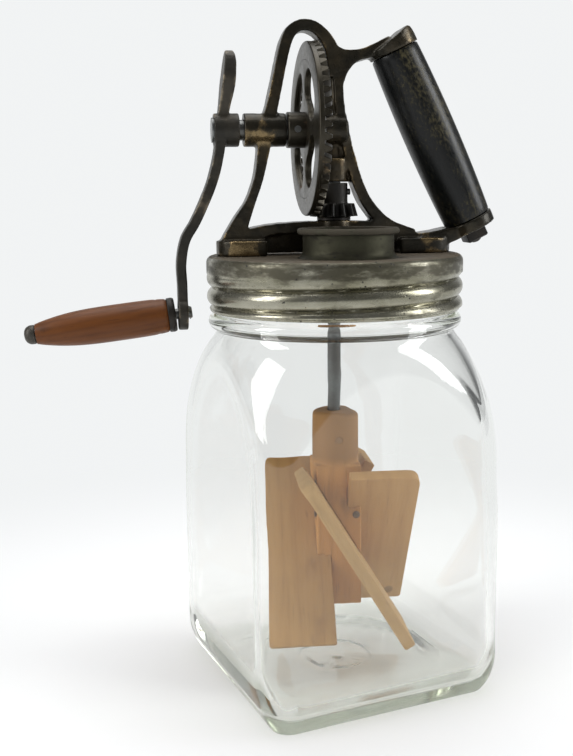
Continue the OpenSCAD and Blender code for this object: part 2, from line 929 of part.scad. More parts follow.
// one tooth of the pinion as points [angle, height over the pitch cone], drawn at the large end
function inv(a) = tan(a) * 180 / PI - a;
pinion_vr = pinion_pr / cos(pinion_cone);
pinion_br = pinion_vr * cos(pressure);
pinion_half = 90 / (pinion_vr * 2 / gear_module) - backlash / 4 / pinion_vr * 180 / PI;
function flank(r) = pinion_half + inv(pressure) - (r < pinion_br ? 0 : inv(acos(pinion_br / r)));
function flank_at(h) = flank(pinion_vr + h) * pinion_vr / pinion_pr;
flank_steps = [-tooth_down, -0.45 * tooth_down, 0, 0.5 * tooth_up, tooth_up];
pinion_tooth = concat(
    [for (h = flank_steps) [-flank_at(h), h]],
    [for (k = [4:-1:0]) [flank_at(flank_steps[k]), flank_steps[k]]]
);

// the same tooth where its lines cross the flat large end
function pinion_point(i, p) = let (
    a = (i + 0.5) * 360 / pinion_teeth + p[0] + 180,
    k = gear_pr / (gear_pr - p[1] * sin(pinion_cone)),
    r = k * (pinion_pr + p[1] * cos(pinion_cone))
) [r * cos(a), r * sin(a)];

module pinion_teeth_ring() {
    translate([0, 0, axle_z - gear_pr])
        linear_extrude(gear_pr * (1 - cone_in), scale = cone_in)
            polygon([for (i = [0:pinion_teeth - 1]) for (p = pinion_tooth) pinion_point(i, p)]);
}

module pinion() {
    color(steel_col)
        difference() {
            union() {
                pinion_teeth_ring();
                translate([0, 0, pinion_foot])
                    cylinder(r = pinion_root_r, h = pinion_seat + 0.5);
                translate([0, 0, axle_z - gear_pr * cone_in - 1])
                    cylinder(d = pinion_hub_d, h = pinion_top - axle_z + gear_pr * cone_in + 1);
            }
            translate([0, 0, pinion_foot - 1])
                cylinder(r = shaft_d / 2 + slip_gap, h = 30);
            pinion_cross(pinion_pin_d / 2 + slip_gap, 30);
        }
}

module pinion_cross(r, len) {
    translate([0, 0, pinion_top - 4])
        rotate([0, 90, 0])
            cylinder(r = r, h = len, center = true);
}

module pinion_pin() {
    color(steel_col)
        pinion_cross(pinion_pin_d / 2, pinion_hub_d + 2.4);
}

module thrust_washer() {
    color(steel_col)
        translate([0, 0, cap_top + bearing_top])
            difference() {
                cylinder(r = pinion_root_r, h = washer_t);
                translate([0, 0, -1])
                    cylinder(r = shaft_d / 2 + run_gap, h = 4);
            }
}

module dasher_shaft() {
    color(steel_col)
        difference() {
            translate([0, 0, post_top - post_bore + 0.5])
                cylinder(d = shaft_d, h = shaft_top - post_top + post_bore - 0.5);
            pinion_cross(pinion_pin_d / 2 + slip_gap, 30);
            post_cross(dasher_pin_d / 2 + slip_gap, 40);
        }
}

// wooden dasher

module post_cross(r, len) {
    rotate([0, 0, dasher_turn])
        translate([0, 0, post_top - 12])
            rotate([90, 0, 0])
                cylinder(r = r, h = len, center = true);
}

module dasher_pin() {
    color(steel_col)
        post_cross(dasher_pin_d / 2, post_d - 0.6);
}

// places a blade drawn with its root at x = blade_root and its face across y
module on_post(q) {
    rotate([0, 0, dasher_turn + q * 90])
        translate([0, blade_off, blade_mid])
            rotate([blade_tilt, 0, 0])
                children();
}

module blade_slots(play) {
    for (q = [0:3])
        on_post(q)
            translate([blade_root - play, -blade_t / 2 - play, -blade_len])
                cube([40, blade_t + 2 * play, 2 * blade_len]);
}

module dasher_post() {
    split = post_top - post_round;
    color(pale_wood_col)
        difference() {
            union() {
                rotate_extrude()
                    union() {
                        translate([0, split - 4])
                            square([post_d / 2, post_top - split + 2]);
                        translate([0, post_top - 3])
                            square([post_d / 2 - 2, 3]);
                        translate([post_d / 2 - 2, post_top - 2])
                            circle(r = 2);
                    }
                rotate([0, 0, dasher_turn])
                    translate([-post_side / 2, -post_side / 2, post_foot])
                        cube([post_side, post_side, split - post_foot]);
            }
            translate([0, 0, post_top - post_bore])
                cylinder(r = shaft_d / 2 + slip_gap, h = post_bore + 1);
            post_cross(dasher_pin_d / 2 + slip_gap, 40);
            blade_slots(slip_gap);
            for (q = [0:3])
                nail_path(q, blade_nail_d / 2 + slip_gap);
        }
}

module blade_outline() {
    h = blade_len / 2;
    top_r = 6;
    low_r = 2;
    x0 = blade_root;
    x1 = blade_reach;
    union() {
        translate([x0, -h])
            square([x1 - x0 - top_r, 2 * h]);
        translate([x0, -h + low_r])
            square([x1 - x0, 2 * h - low_r - top_r]);
        translate([x0, -h])
            square([x1 - x0 - low_r, low_r * 2]);
        translate([x1 - top_r, h - top_r])
            circle(r = top_r);
        translate([x1 - low_r, -h + low_r])
            circle(r = low_r);
    }
}

module blade(q) {
    color(pale_wood_col)
        difference() {
            on_post(q)
                upright(blade_t)
                    blade_outline();
            nail_path(q, blade_nail_d / 2 + slip_gap);
        }
}

// each blade's nail is driven from one face of the post, across the slot and the blade's root
module nail_path(q, r) {
    rotate([0, 0, dasher_turn + q * 90])
        translate([blade_root + nail_in, nail_len - post_side / 2, blade_mid + nail_up])
            rotate([90, 0, 0])
                cylinder(r = r, h = nail_len + e);
}

module blade_right() {
    blade(0);
}

module blade_back() {
    blade(1);
}

module blade_left() {
    blade(2);
}

module blade_front() {
    blade(3);
}

module blade_nails() {
    color(steel_col)
        for (q = [0:3])
            union() {
                nail_path(q, blade_nail_d / 2);
                rotate([0, 0, dasher_turn + q * 90])
                    translate([blade_root + nail_in, -post_side / 2, blade_mid + nail_up])
                        rotate([90, 0, 0])
                            cylinder(r1 = blade_nail_d, r2 = blade_nail_d * 0.8, h = 0.7);
            }
}

glass_jar();
gasket();
screw_cap();
filler_collar();
strainer_disc();
cast_frame();
frame_rivets();
handle_grip();
handle_bolt();
handle_nut();
axle();
drive_gear();
gear_pin();
crank_arm();
grip_spindle();
spindle_tip();
crank_grip();
grip_ferrule();
pinion();
pinion_pin();
thrust_washer();
dasher_shaft();
dasher_post();
dasher_pin();
blade_right();
blade_back();
blade_left();
blade_front();
blade_nails();
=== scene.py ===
"""Glass jar butter churn: the visible pieces, their finishes and the studio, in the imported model's frame.

Lengths are millimetres in the sizes below and metres in the finished meshes. X runs along the axle towards
the carrying handle, -Y towards the filler collar and Z upwards.
"""

import logging
import math
from dataclasses import dataclass, field, replace
from enum import Enum
from typing import Any, Sequence

import bmesh
import bpy
import numpy as np
from mathutils import Matrix, Vector


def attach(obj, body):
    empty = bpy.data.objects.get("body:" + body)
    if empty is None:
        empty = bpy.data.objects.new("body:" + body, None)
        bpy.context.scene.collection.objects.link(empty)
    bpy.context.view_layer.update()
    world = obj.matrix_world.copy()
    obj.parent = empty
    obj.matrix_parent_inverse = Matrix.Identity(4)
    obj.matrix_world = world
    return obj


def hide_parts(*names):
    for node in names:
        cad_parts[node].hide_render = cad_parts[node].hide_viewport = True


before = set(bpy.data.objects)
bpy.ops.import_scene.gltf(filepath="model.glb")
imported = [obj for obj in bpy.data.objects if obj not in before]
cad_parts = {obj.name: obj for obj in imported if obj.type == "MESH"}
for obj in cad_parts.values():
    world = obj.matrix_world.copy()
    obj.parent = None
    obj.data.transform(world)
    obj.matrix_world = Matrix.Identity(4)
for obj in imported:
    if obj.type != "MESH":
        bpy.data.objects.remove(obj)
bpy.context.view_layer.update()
MM = 0.001
log = logging.getLogger("churn")

Point2 = tuple[float, float]
Colour = tuple[float, float, float]


class Body(str, Enum):
    """The moving bodies of the churn."""

    JAR = "jar"
    SEAL = "seal"
    HEAD = "head"
    DRIVE = "drive"
    GRIP = "grip"
    DASHER = "dasher"


class Slot(str, Enum):
    """Names of material slots."""

    GLASS = "glass"
    RUBBER = "rubber"
    TIN = "tinplate"
    CAST_IRON = "cast_iron"
    GEAR_IRON = "gear_iron"
    DARK_IRON = "dark_iron"
    STEEL = "steel"
    BLACK_WOOD = "black_wood"
    RED_WOOD = "red_wood"
    PALE_WOOD = "pale_wood"


# Small sums used by several pieces


def paint(red: float, green: float, blue: float) -> Colour:
    """Turns a colour as a screen shows it into linear light.

    Args:
        red, green, blue: screen values from 0 to 255.
    Returns:
        The linear colour.
    """

    def linear(value: float) -> float:
        """One channel in linear light."""
        v = value / 255
        return v / 12.92 if v <= 0.04045 else ((v + 0.055) / 1.055) ** 2.4

    return linear(red), linear(green), linear(blue)


def ease(low: float, high: float, value: np.ndarray) -> np.ndarray:
    """A soft step from 0 at low to 1 at high."""
    t = np.clip((value - low) / (high - low), 0, 1)
    return t * t * (3 - 2 * t)


def soft_min(a: np.ndarray, b: np.ndarray, width: float) -> np.ndarray:
    """The smaller of two surfaces with the crease between them rounded over width."""
    h = np.clip(0.5 + 0.5 * (b - a) / width, 0, 1)
    return b + (a - b) * h - width * h * (1 - h)


def soft_max(a: np.ndarray, b: np.ndarray, width: float) -> np.ndarray:
    """The larger of two surfaces with the crease between them rounded over width."""
    return -soft_min(-a, -b, width)


def rounded(points: Sequence[tuple[float, float, float]], closed: bool, steps: int = 5) -> list[Point2]:
    """Rounds the corners of an outline.

    Args:
        points: corners as x, y and corner radius.
        closed: whether the last corner joins the first.
        steps: pieces in each rounded corner.
    Returns:
        The points of the rounded outline.
    """
    out: list[Point2] = []
    count = len(points)
    for i, (x, y, radius) in enumerate(points):
        end = not closed and i in (0, count - 1)
        if radius <= 0 or end:
            out.append((x, y))
            continue
        here = Vector((x, y))
        before = Vector(points[i - 1][:2]) - here
        after = Vector(points[(i + 1) % count][:2]) - here
        half = before.angle(after) / 2
        reach = min(radius / math.tan(half), 0.49 * before.length, 0.49 * after.length)
        start, stop = here + before.normalized() * reach, here + after.normalized() * reach
        for k in range(steps + 1):
            t = k / steps
            p = start * (1 - t) ** 2 + here * (2 * t * (1 - t)) + stop * t**2
            out.append((p.x, p.y))
    return out


# Meshes


class Blank:
    """A mesh that is put together from rings, plates and boards before it becomes a piece."""

    def __init__(self) -> None:
        """Starts without points or faces."""
        self.points: list[np.ndarray] = []
        self.faces: list[tuple[int, ...]] = []
        self.count = 0

    def add(self, points: np.ndarray, faces: Sequence[tuple[int, ...]]) -> None:
        """Adds points and the faces between them.

        Args:
            points: places in millimetres.
            faces: point numbers, counted from the first of these points.
        """
        self.points.append(np.asarray(points, float).reshape(-1, 3))
        self.faces += [tuple(i + self.count for i in f) for f in faces]
        self.count += len(self.points[-1])

    def rings(self, rings: np.ndarray, wrap: bool = False, first: Any = None, last: Any = None) -> None:
        """Skins rings of points.

        Args:
            rings: array of rings by points round each by 3.
            wrap: joins the last ring to the first.
            first, last: a closing point at either end, or None.
        """
        total, around = rings.shape[:2]
        j = np.arange(around)
        k = (j + 1) % around
        faces: list[tuple[int, ...]] = []
        for a in range(total if wrap else total - 1):
            b = (a + 1) % total
            grid = np.stack([a * around + j, a * around + k, b * around + k, b * around + j], 1)
            faces += [tuple(f) for f in grid.tolist()]
        points = rings.reshape(-1, 3)
        for pole, ring, turn in ((first, 0, True), (last, total - 1, False)):
            if pole is None:
                continue
            points = np.vstack([points, np.asarray(pole, float)])
            tip, base = len(points) - 1, ring * around
            for m in range(around):
                pair = (base + m, base + (m + 1) % around)
                faces.append((tip, pair[1], pair[0]) if turn else (tip, pair[0], pair[1]))
        self.add(points, faces)

    def lathe(
        self, profile: Sequence[Point2], place: Matrix, segments: int = 64, closed: bool = True
    ) -> None:
        """Turns a profile of radius and height about the axis of place.

        Args:
            profile: radius and height; a closed profile is a ring, an open one ends in poles at radius 0.
            place: where the axis (its local Z) lies, in millimetres.
            segments: faces round the axis.
            closed: whether the profile is a ring.
        """
        angle = np.linspace(0, 2 * math.pi, segments, endpoint=False)
        body = list(profile) if closed else [p for p in profile if p[0] > 1e-6]
        rows = np.array([[[r * math.cos(a), r * math.sin(a), h] for a in angle] for r, h in body])
        turn = np.array(place.to_3x3())
        move = np.array(place.translation)
        poles: list[Any] = [None, None]
        if not closed:
            for n, (r, h) in enumerate((profile[0], profile[-1])):
                if r <= 1e-6:
                    poles[n] = turn @ np.array([0, 0, h]) + move
        self.rings(rows @ turn.T + move, closed, poles[0], poles[1])

    def plate(
        self, outer: Sequence[np.ndarray], holes: Sequence[Sequence[np.ndarray]], rim: bool = True
    ) -> None:
        """A plate with holes whose edges run through levels from its top to its bottom.

        Args:
            outer: the rim's loops from top to bottom.
            holes: for each hole its loops from top to bottom.
            rim: whether the rim's own wall is made here.
        """
        for level in (0, -1):
            sheet = bmesh.new()
            edges = []
            for loop in [outer[level]] + [h[level] for h in holes]:
                corners = [sheet.verts.new(p) for p in loop]
                edges += [sheet.edges.new((corners[i - 1], corners[i])) for i in range(len(corners))]
            bmesh.ops.triangle_fill(sheet, use_beauty=True, edges=edges)
            sheet.verts.index_update()
            faces = [tuple(v.index for v in f.verts) for f in sheet.faces]
            self.add(np.array([v.co for v in sheet.verts]), faces)
            sheet.free()
        for loops in ([outer] if rim else []) + list(holes):
            self.rings(np.array(loops))

    def piece(self, name: str, crease: float = 40.0) -> bpy.types.Object:
        """Closes the mesh and makes it an object.

        Args:
            name: the piece's name.
            crease: edges sharper than this many degrees stay sharp.
        Returns:
            The finished object, at the origin.
        """
        mesh = bpy.data.meshes.new(name)
        mesh.from_pydata((np.vstack(self.points) * MM).tolist(), [], self.faces)
        work = bmesh.new()
        work.from_mesh(mesh)
        bmesh.ops.remove_doubles(work, verts=work.verts, dist=2e-6)
        bmesh.ops.dissolve_degenerate(work, dist=1e-7, edges=work.edges)
        bmesh.ops.recalc_face_normals(work, faces=work.faces)
        work.to_mesh(mesh)
        work.free()
        return as_piece(name, mesh, crease)


def as_piece(name: str, mesh: bpy.types.Mesh, crease: float) -> bpy.types.Object:
    """Links a mesh as a smooth object with sharp creases.

    Args:
        name: the piece's name.
        mesh: its mesh, in metres.
        crease: edges sharper than this many degrees stay sharp.
    Returns:
        The object, at the origin.
    """
    mesh.shade_smooth()
    mesh.set_sharp_from_angle(angle=math.radians(crease))
    made = bpy.data.objects.new(name, mesh)
    bpy.context.scene.collection.objects.link(made)
    return made


def places(obj: bpy.types.Object) -> np.ndarray:
    """The points of an object's mesh in millimetres.

    Args:
        obj: the object.
    Returns:
        A row of x, y and z for each point.
    """
    flat = np.empty(len(obj.data.vertices) * 3, np.float32)
    obj.data.vertices.foreach_get("co", flat)
    return flat.reshape(-1, 3).astype(float) / MM


def axis_place(origin: Sequence[float], along: Sequence[float]) -> Matrix:
    """A place whose local Z runs along a direction.

    Args:
        origin: where its origin lies.
        along: the direction.
    Returns:
        The place.
    """
    z = Vector(along).normalized()
    hint = Vector((0, 1, 0)) if abs(z.y) < 0.9 else Vector((1, 0, 0))
    x = hint.cross(z).normalized()
    turn = Matrix((x, z.cross(x), z)).transposed().to_4x4()
    return Matrix.Translation(Vector(origin)) @ turn


def settle(obj: bpy.types.Object) -> bpy.types.Mesh:
    """Works an object's modifiers into a plain mesh.

    Args:
        obj: the object.
    Returns:
        The new mesh.
    """
    graph = bpy.context.evaluated_depsgraph_get()
    graph.update()
    return bpy.data.meshes.new_from_object(obj.evaluated_get(graph))


@dataclass(frozen=True)
class Bore:
    """A round hole that a casting keeps clear."""

    origin: tuple[float, float, float]
    along: tuple[float, float, float]
    radius: float
    length: float


@dataclass
class Casting:
    """A cast or forged piece: the CAD solid with every edge softened and its wear measured."""

    node: str
    cell: float
    passes: int
    bores: list[Bore] = field(default_factory=list)
    grain: float = 0.0

    def build(self, name: str) -> bpy.types.Object:
        """Makes the softened copy.

        Args:
            name: the piece's name.
        Returns:
            The object with its wear in the point attribute "wear".
        """
        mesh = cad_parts[self.node].data.copy()
        work = bmesh.new()
        work.from_mesh(mesh)
        bmesh.ops.remove_doubles(work, verts=work.verts, dist=2e-6)
        work.to_mesh(mesh)
        work.free()
        rough = bpy.data.objects.new(name + " blank", mesh)
        bpy.context.scene.collection.objects.link(rough)
        skin = rough.modifiers.new("skin", "REMESH")
        skin.mode, skin.voxel_size = "VOXEL", self.cell * MM * 1
        soft = rough.modifiers.new("soft", "SMOOTH")
        soft.factor, soft.iterations = 0.5, self.passes
        done = settle(rough)
        bpy.data.objects.remove(rough)
        done.materials.clear()
        made = as_piece(name, done, 80)
        self.clear_bores(made)
        measure_wear(made)
        return made

    def clear_bores(self, made: bpy.types.Object) -> None:
        """Pushes points that stand in a bore back to its wall, and leaves sand-cast unevenness elsewhere.

        Args:
            made: the softened copy, which is changed.
        """
        p = places(made)
        if self.grain:
            chance = np.random.default_rng(4)
            wave = np.sin(p @ chance.normal(0, 0.6, (3, 14)) + chance.uniform(0, 6.28, 14)).sum(1) / 5
            normal = np.empty(len(p) * 3, np.float32)
            made.data.vertices.foreach_get("normal", normal)
            p -= normal.reshape(-1, 3) * (self.grain * np.clip(0.5 + 0.5 * wave, 0, 1))[:, None]
        for bore in self.bores:
            axis = np.array(bore.along, float) / np.linalg.norm(bore.along)
            rel = p - np.array(bore.origin)
            run = rel @ axis
            side = rel - run[:, None] * axis
            wide = np.linalg.norm(side, axis=1)
            inside = (wide < bore.radius) & (run > -1) & (run < bore.length + 1) & (wide > 1e-6)
            p[inside] += side[inside] * (bore.radius / wide[inside] - 1)[:, None]
        made.data.vertices.foreach_set("co", (p * MM).astype(np.float32).ravel())
        made.data.update()


def measure_wear(obj: bpy.types.Object) -> None:
    """Stores how proud each point stands: 0.5 on a flat, more on an edge, less in a hollow.

    Args:
        obj: the piece that gets the point attribute "wear".
    """
    mesh = obj.data
    p = places(obj)
    ends = np.empty(len(mesh.edges) * 2, np.int32)
    mesh.edges.foreach_get("vertices", ends)
    a, b = ends.reshape(-1, 2).T
    normal = np.empty(len(p) * 3, np.float32)
    mesh.vertices.foreach_get("normal", normal)
    normal = normal.reshape(-1, 3)
    step = p[b] - p[a]
    square = np.maximum((step**2).sum(1), 1e-9)
    bend = np.zeros(len(p))
    share = np.zeros(len(p))
    np.add.at(bend, a, -(normal[a] * step).sum(1) / square)
    np.add.at(bend, b, (normal[b] * step).sum(1) / square)
    np.add.at(share, a, 1)
    np.add.at(share, b, 1)
    share = np.maximum(share, 1)
    bend /= share
    for _ in range(4):
        total = bend.copy()
        np.add.at(total, a, bend[b])
        np.add.at(total, b, bend[a])
        bend = total / (share + 1)
    store(obj, "wear", np.clip(0.5 + 1.1 * bend, 0, 1))


def store(obj: bpy.types.Object, name: str, values: np.ndarray) -> None:
    """Keeps one number or one vector for each point of a piece.

    Args:
        obj: the piece.
        name: the attribute's name.
        values: the numbers, or rows of three.
    """
    vector = values.ndim == 2
    kept = obj.data.attributes.new(name, "FLOAT_VECTOR" if vector else "FLOAT", "POINT")
    kept.data.foreach_set("vector" if vector else "value", values.astype(np.float32).ravel())


def store_grain(obj: bpy.types.Object, place: Matrix) -> None:
    """Keeps each point's place in the wood, with the fibres along the local Z of place."""
    back = np.array(place.inverted())
    store(obj, "grain", places(obj) @ back[:3, :3].T + back[:3, 3])


# Node trees


class Wire:
    """An output in a node tree that can be reckoned with like a number."""

    def __init__(self, board: "Board", socket: bpy.types.NodeSocket) -> None:
        """Takes hold of a socket on a board."""
        self.board, self.socket = board, socket

    def sum(self, operation: str, a: Any, b: Any) -> "Wire":
        """One maths node.

        Args:
            operation: Blender's name of the sum.
            a, b: wires or numbers.
        Returns:
            The result's wire.
        """
        node = self.board.node("ShaderNodeMath", {"operation": operation}, {"Value": a, "Value_001": b})
        return self.board.wire(node)

    def __add__(self, other: Any) -> "Wire":
        """This plus the other."""
        return self.sum("ADD", self, other)

    def __radd__(self, other: Any) -> "Wire":
        """The other plus this."""
        return self.sum("ADD", other, self)

    def __sub__(self, other: Any) -> "Wire":
        """This less the other."""
        return self.sum("SUBTRACT", self, other)

    def __rsub__(self, other: Any) -> "Wire":
        """The other less this."""
        return self.sum("SUBTRACT", other, self)

    def __mul__(self, other: Any) -> "Wire":
        """This times the other."""
        return self.sum("MULTIPLY", self, other)

    def __rmul__(self, other: Any) -> "Wire":
        """The other times this."""
        return self.sum("MULTIPLY", other, self)

    def __truediv__(self, other: Any) -> "Wire":
        """This divided by the other."""
        return self.sum("DIVIDE", self, other)

    def __rtruediv__(self, other: Any) -> "Wire":
        """The other divided by this."""
        return self.sum("DIVIDE", other, self)

    def __pow__(self, other: Any) -> "Wire":
        """This to the power of the other."""
        return self.sum("POWER", self, other)

    def __rpow__(self, other: Any) -> "Wire":
        """The other to the power of this."""
        return self.sum("POWER", other, self)

    def __or__(self, other: Any) -> "Wire":
        """The larger of the two."""
        return self.sum("MAXIMUM", self, other)

    def __ror__(self, other: Any) -> "Wire":
        """The larger of the two."""
        return self.sum("MAXIMUM", other, self)

    def step(self, low: float, high: float, start: float = 0.0, stop: float = 1.0) -> "Wire":
        """A soft step.

        Args:
            low, high: where the step begins and ends.
            start, stop: its values before and after.
        Returns:
            The step's wire.
        """
        node = self.board.node(
            "ShaderNodeMapRange",
            {"interpolation_type": "SMOOTHSTEP"},
            {"Value": self, "From Min": low, "From Max": high, "To Min": start, "To Max": stop},
        )
        return self.board.wire(node)


class Board:
    """A node tree to which nodes are added one at a time."""

    def __init__(self, tree: bpy.types.NodeTree) -> None:
        """Starts on a tree."""
        self.tree = tree

    def node(
        self, kind: str, settings: dict[str, Any] | None = None, feeds: dict[str, Any] | None = None
    ) -> Any:
        """Adds a node.

        Args:
            kind: the node's type.
            settings: its own settings, set first.
            feeds: values or wires for its inputs, by identifier or name.
        Returns:
            The node.
        """
        made = self.tree.nodes.new(kind)
        for key, value in (settings or {}).items():
            setattr(made, key, value)
        for key, value in (feeds or {}).items():
            socket = self.find(made.inputs, key)
            if isinstance(value, Wire):
                self.tree.links.new(value.socket, socket)
            elif socket.type == "RGBA" and len(value) == 3:
                socket.default_value = (*value, 1.0)
            else:
                socket.default_value = value
        return made

    @staticmethod
    def find(sockets: Any, key: str) -> bpy.types.NodeSocket:
        """A socket by its identifier, else by its name.

        Args:
            sockets: a node's inputs or outputs.
            key: the identifier or name.
        Returns:
            The socket.
        """
        for socket in sockets:
            if socket.identifier == key:
                return socket
        return sockets[key]

    def wire(self, node: Any, key: str | None = None) -> Wire:
        """An output of a node, the first one if none is named."""
        return Wire(self, node.outputs[0] if key is None else self.find(node.outputs, key))

    def mix(self, a: Any, b: Any, factor: Any) -> Wire:
        """A colour between two others.

        Args:
            a: the colour at factor 0.
            b: the colour at factor 1.
            factor: how far it goes from a to b.
        Returns:
            The colour's wire.
        """
        made = self.node(
            "ShaderNodeMix",
            {"data_type": "RGBA", "clamp_factor": True},
            {"Factor_Float": factor, "A_Color": a, "B_Color": b},
        )
        return self.wire(made, "Result_Color")

    def where(self) -> Wire:
        """The place on the piece, in millimetres of the shared frame."""
        found = self.wire(self.node("ShaderNodeTexCoord"), "Object")
        return self.scaled(found, (1000.0, 1000.0, 1000.0))

    def kept(self, name: str, output: str) -> Wire:
        """A value that was stored for each point of the piece."""
        return self.wire(self.node("ShaderNodeAttribute", {"attribute_name": name}), output)

    def scaled(self, vector: Wire, by: Colour) -> Wire:
        """A vector with each part multiplied.

        Args:
            vector: the vector.
            by: a factor for each part.
        Returns:
            The new vector.
        """
        feeds = {"Vector": vector, "Vector_001": by}
        made = self.node("ShaderNodeVectorMath", {"operation": "MULTIPLY"}, feeds)
        return self.wire(made)

    def moved(self, vector: Wire, by: Colour) -> Wire:
        """A vector with a constant added.

        Args:
            vector: the vector.
            by: what is added to each part.
        Returns:
            The new vector.
        """
        feeds = {"Vector": vector, "Vector_001": by}
        made = self.node("ShaderNodeVectorMath", {"operation": "ADD"}, feeds)
        return self.wire(made)

    def parts(self, vector: Wire) -> tuple[Wire, Wire, Wire]:
        """The three parts of a vector."""
        split = self.node("ShaderNodeSeparateXYZ", None, {"Vector": vector})
        return self.wire(split, "X"), self.wire(split, "Y"), self.wire(split, "Z")

    def noise(
        self, vector: Wire, size: float, detail: float = 4.0, rough: float = 0.55, seed: float = 0.0
    ) -> Wire:
        """Cloudy noise about 0.5.

        Args:
            vector: where it is read, in millimetres.
            size: millimetres across one cloud.
            detail, rough: how much finer noise is laid over it.
            seed: another number gives another pattern.
        Returns:
            The noise.
        """
        made = self.node(
            "ShaderNodeTexNoise",
            {"noise_dimensions": "4D"},
            {"Vector": vector, "W": seed, "Scale": 1 / size, "Detail": detail, "Roughness": rough},
        )
        return self.wire(made)

    def specks(self, vector: Wire, size: float, share: float) -> Wire:
        """Small round pits or specks: 1 in a speck, 0 between them."""
        made = self.node("ShaderNodeTexVoronoi", {"feature": "F1"}, {"Vector": vector, "Scale": 1 / size})
        return self.wire(made, "Distance").step(share * 0.6, share, 1.0, 0.0)

    def bump(self, height: Wire, depth: float, strength: float = 1.0) -> Wire:
        """A surface relief.

        Args:
            height: the relief's height, about 0 to 1.
            depth: millimetres for a height of 1.
            strength: how much of it shows.
        Returns:
            The normal's wire.
        """
        feeds = {"Height": height, "Distance": depth * MM, "Strength": strength}
        made = self.node("ShaderNodeBump", None, feeds)
        return self.wire(made)


# Finishes


class Finish:
    """A finish that paints one material."""

    name: str

    def shade(self, board: Board) -> Wire:
        """Lays the finish on a board.

        Args:
            board: the material's node tree.
        Returns:
            The shader's wire.
        """
        raise NotImplementedError

    def depth(self, board: Board) -> Wire | None:
        """What the finish does inside the piece; nothing, unless light goes through it.

        Args:
            board: the material's node tree.
        Returns:
            The volume's wire, or None.
        """
        return None

    def material(self) -> bpy.types.Material:
        """Makes the material at the first call and gives the same one later.

        Returns:
            The material.
        """
        made = bpy.data.materials.get(self.name)
        if made is None:
            made = bpy.data.materials.new(self.name)
            made.use_nodes = True
            made.node_tree.nodes.clear()
            board = Board(made.node_tree)
            ends = {"Surface": self.shade(board)}
            depth = self.depth(board)
            if depth is not None:
                ends["Volume"] = depth
            board.node("ShaderNodeOutputMaterial", None, ends)
        return made


@dataclass(frozen=True)
class ClearGlass(Finish):
    """Old pressed glass with a breath of grey-green in it."""

    name: str
    tint: Colour
    body: Colour
    density: float
    roughness: float = 0.0

    def depth(self, board: Board) -> Wire | None:
        """The colour that shows where light goes a long way through the glass.

        Args:
            board: the material's node tree.
        Returns:
            The volume's wire.
        """
        made = board.node("ShaderNodeVolumeAbsorption", None, {"Color": self.body, "Density": self.density})
        return board.wire(made)

    def shade(self, board: Board) -> Wire:
        """Clear glass, faintly rippled and smeared, that lets light into the jar.

        Args:
            board: the material's node tree.
        Returns:
            The shader's wire.
        """
        p = board.where()
        _, _, height = board.parts(p)
        ripple = board.noise(board.scaled(p, (1.0, 1.0, 0.45)), 34.0, 1.0, 0.4)
        smear = board.noise(p, 22.0, 5.0, 0.6, 3.0).step(0.5, 0.75)
        glass = board.node(
            "ShaderNodeBsdfPrincipled",
            None,
            {
                "Base Color": board.mix(self.tint, tuple(c * 0.985 for c in self.tint), smear),
                "Roughness": smear * 0.012 + self.roughness + height.step(1.0, 11.0, 0.16, 0.0),
                "IOR": 1.5,
                "Transmission Weight": 1.0,
                "Normal": board.bump(ripple, 0.5, 0.08),
            },
        )
        path = board.node("ShaderNodeLightPath")
        clear = board.node("ShaderNodeBsdfTransparent", None, {"Color": (0.97, 0.975, 0.97)})
        passing = board.wire(path, "Is Shadow Ray") | board.wire(path, "Is Diffuse Ray")
        passing = passing | board.wire(path, "Glossy Depth").step(2.4, 2.6)
        made = board.node(
            "ShaderNodeMixShader",
            None,
            {"Fac": passing, "Shader": board.wire(glass), "Shader_001": board.wire(clear)},
        )
        return board.wire(made)


@dataclass(frozen=True)
class TarnishedTin(Finish):
    """Tinned sheet that has gone grey and olive, with stains, pits and rust."""

    name: str
    bright: Colour
    dull: Colour
    stain: Colour
    rust: Colour
    dust: Colour
    stain_above: float = 1000.0
    dust_above: float = 1000.0
    rust_above: float = 1000.0
    shine: float = 0.3

    def shade(self, board: Board) -> Wire:
        """Grey tin with stained streaks, pits, rust and dust by height.

        Args:
            board: the material's node tree.
        Returns:
            The shader's wire.
        """
        p = board.where()
        _, _, height = board.parts(p)
        cloud = board.noise(p, 26.0, 5.0, 0.6)
        streak = board.noise(board.scaled(p, (1.0, 1.0, 3.2)), 9.0, 6.0, 0.65, 2.0)
        band = height.step(self.stain_above - 1.2, self.stain_above + 0.6)
        stained = (streak + band * 0.2 + cloud * 0.3).step(0.64, 0.9)
        pits = board.specks(p, 2.6, 0.2) * board.noise(p, 8.0, 2.0, 0.5, 5.0).step(0.5, 0.62)
        spots = board.noise(p, 5.0, 6.0, 0.7, 9.0)
        rusty = (spots + height.step(self.rust_above - 1.0, self.rust_above) * 0.28).step(0.62, 0.82)
        dusty = height.step(self.dust_above - 0.5, self.dust_above) * spots.step(0.2, 0.55, 0.55, 1.0)
        colour = board.mix(self.bright, self.dull, cloud.step(0.35, 0.68))
        colour = board.mix(colour, self.stain, stained * 0.85)
        colour = board.mix(colour, self.rust, rusty * 0.8)
        colour = board.mix(colour, self.dust, dusty)
        colour = board.mix(colour, tuple(c * 0.25 for c in self.stain), pits)
        cover = rusty | dusty | pits
        relief = cloud * 0.5 + streak * 0.12 - pits * 0.3
        made = board.node(
            "ShaderNodeBsdfPrincipled",
            None,
            {
                "Base Color": colour,
                "Metallic": 0.95 - cover * 0.8 - stained * 0.25,
                "Roughness": self.shine + stained * 0.16 + cover * 0.3 + (streak - 0.5) * 0.14,
                "Normal": board.bump(relief, 0.35, 0.5),
            },
        )
        return board.wire(made)


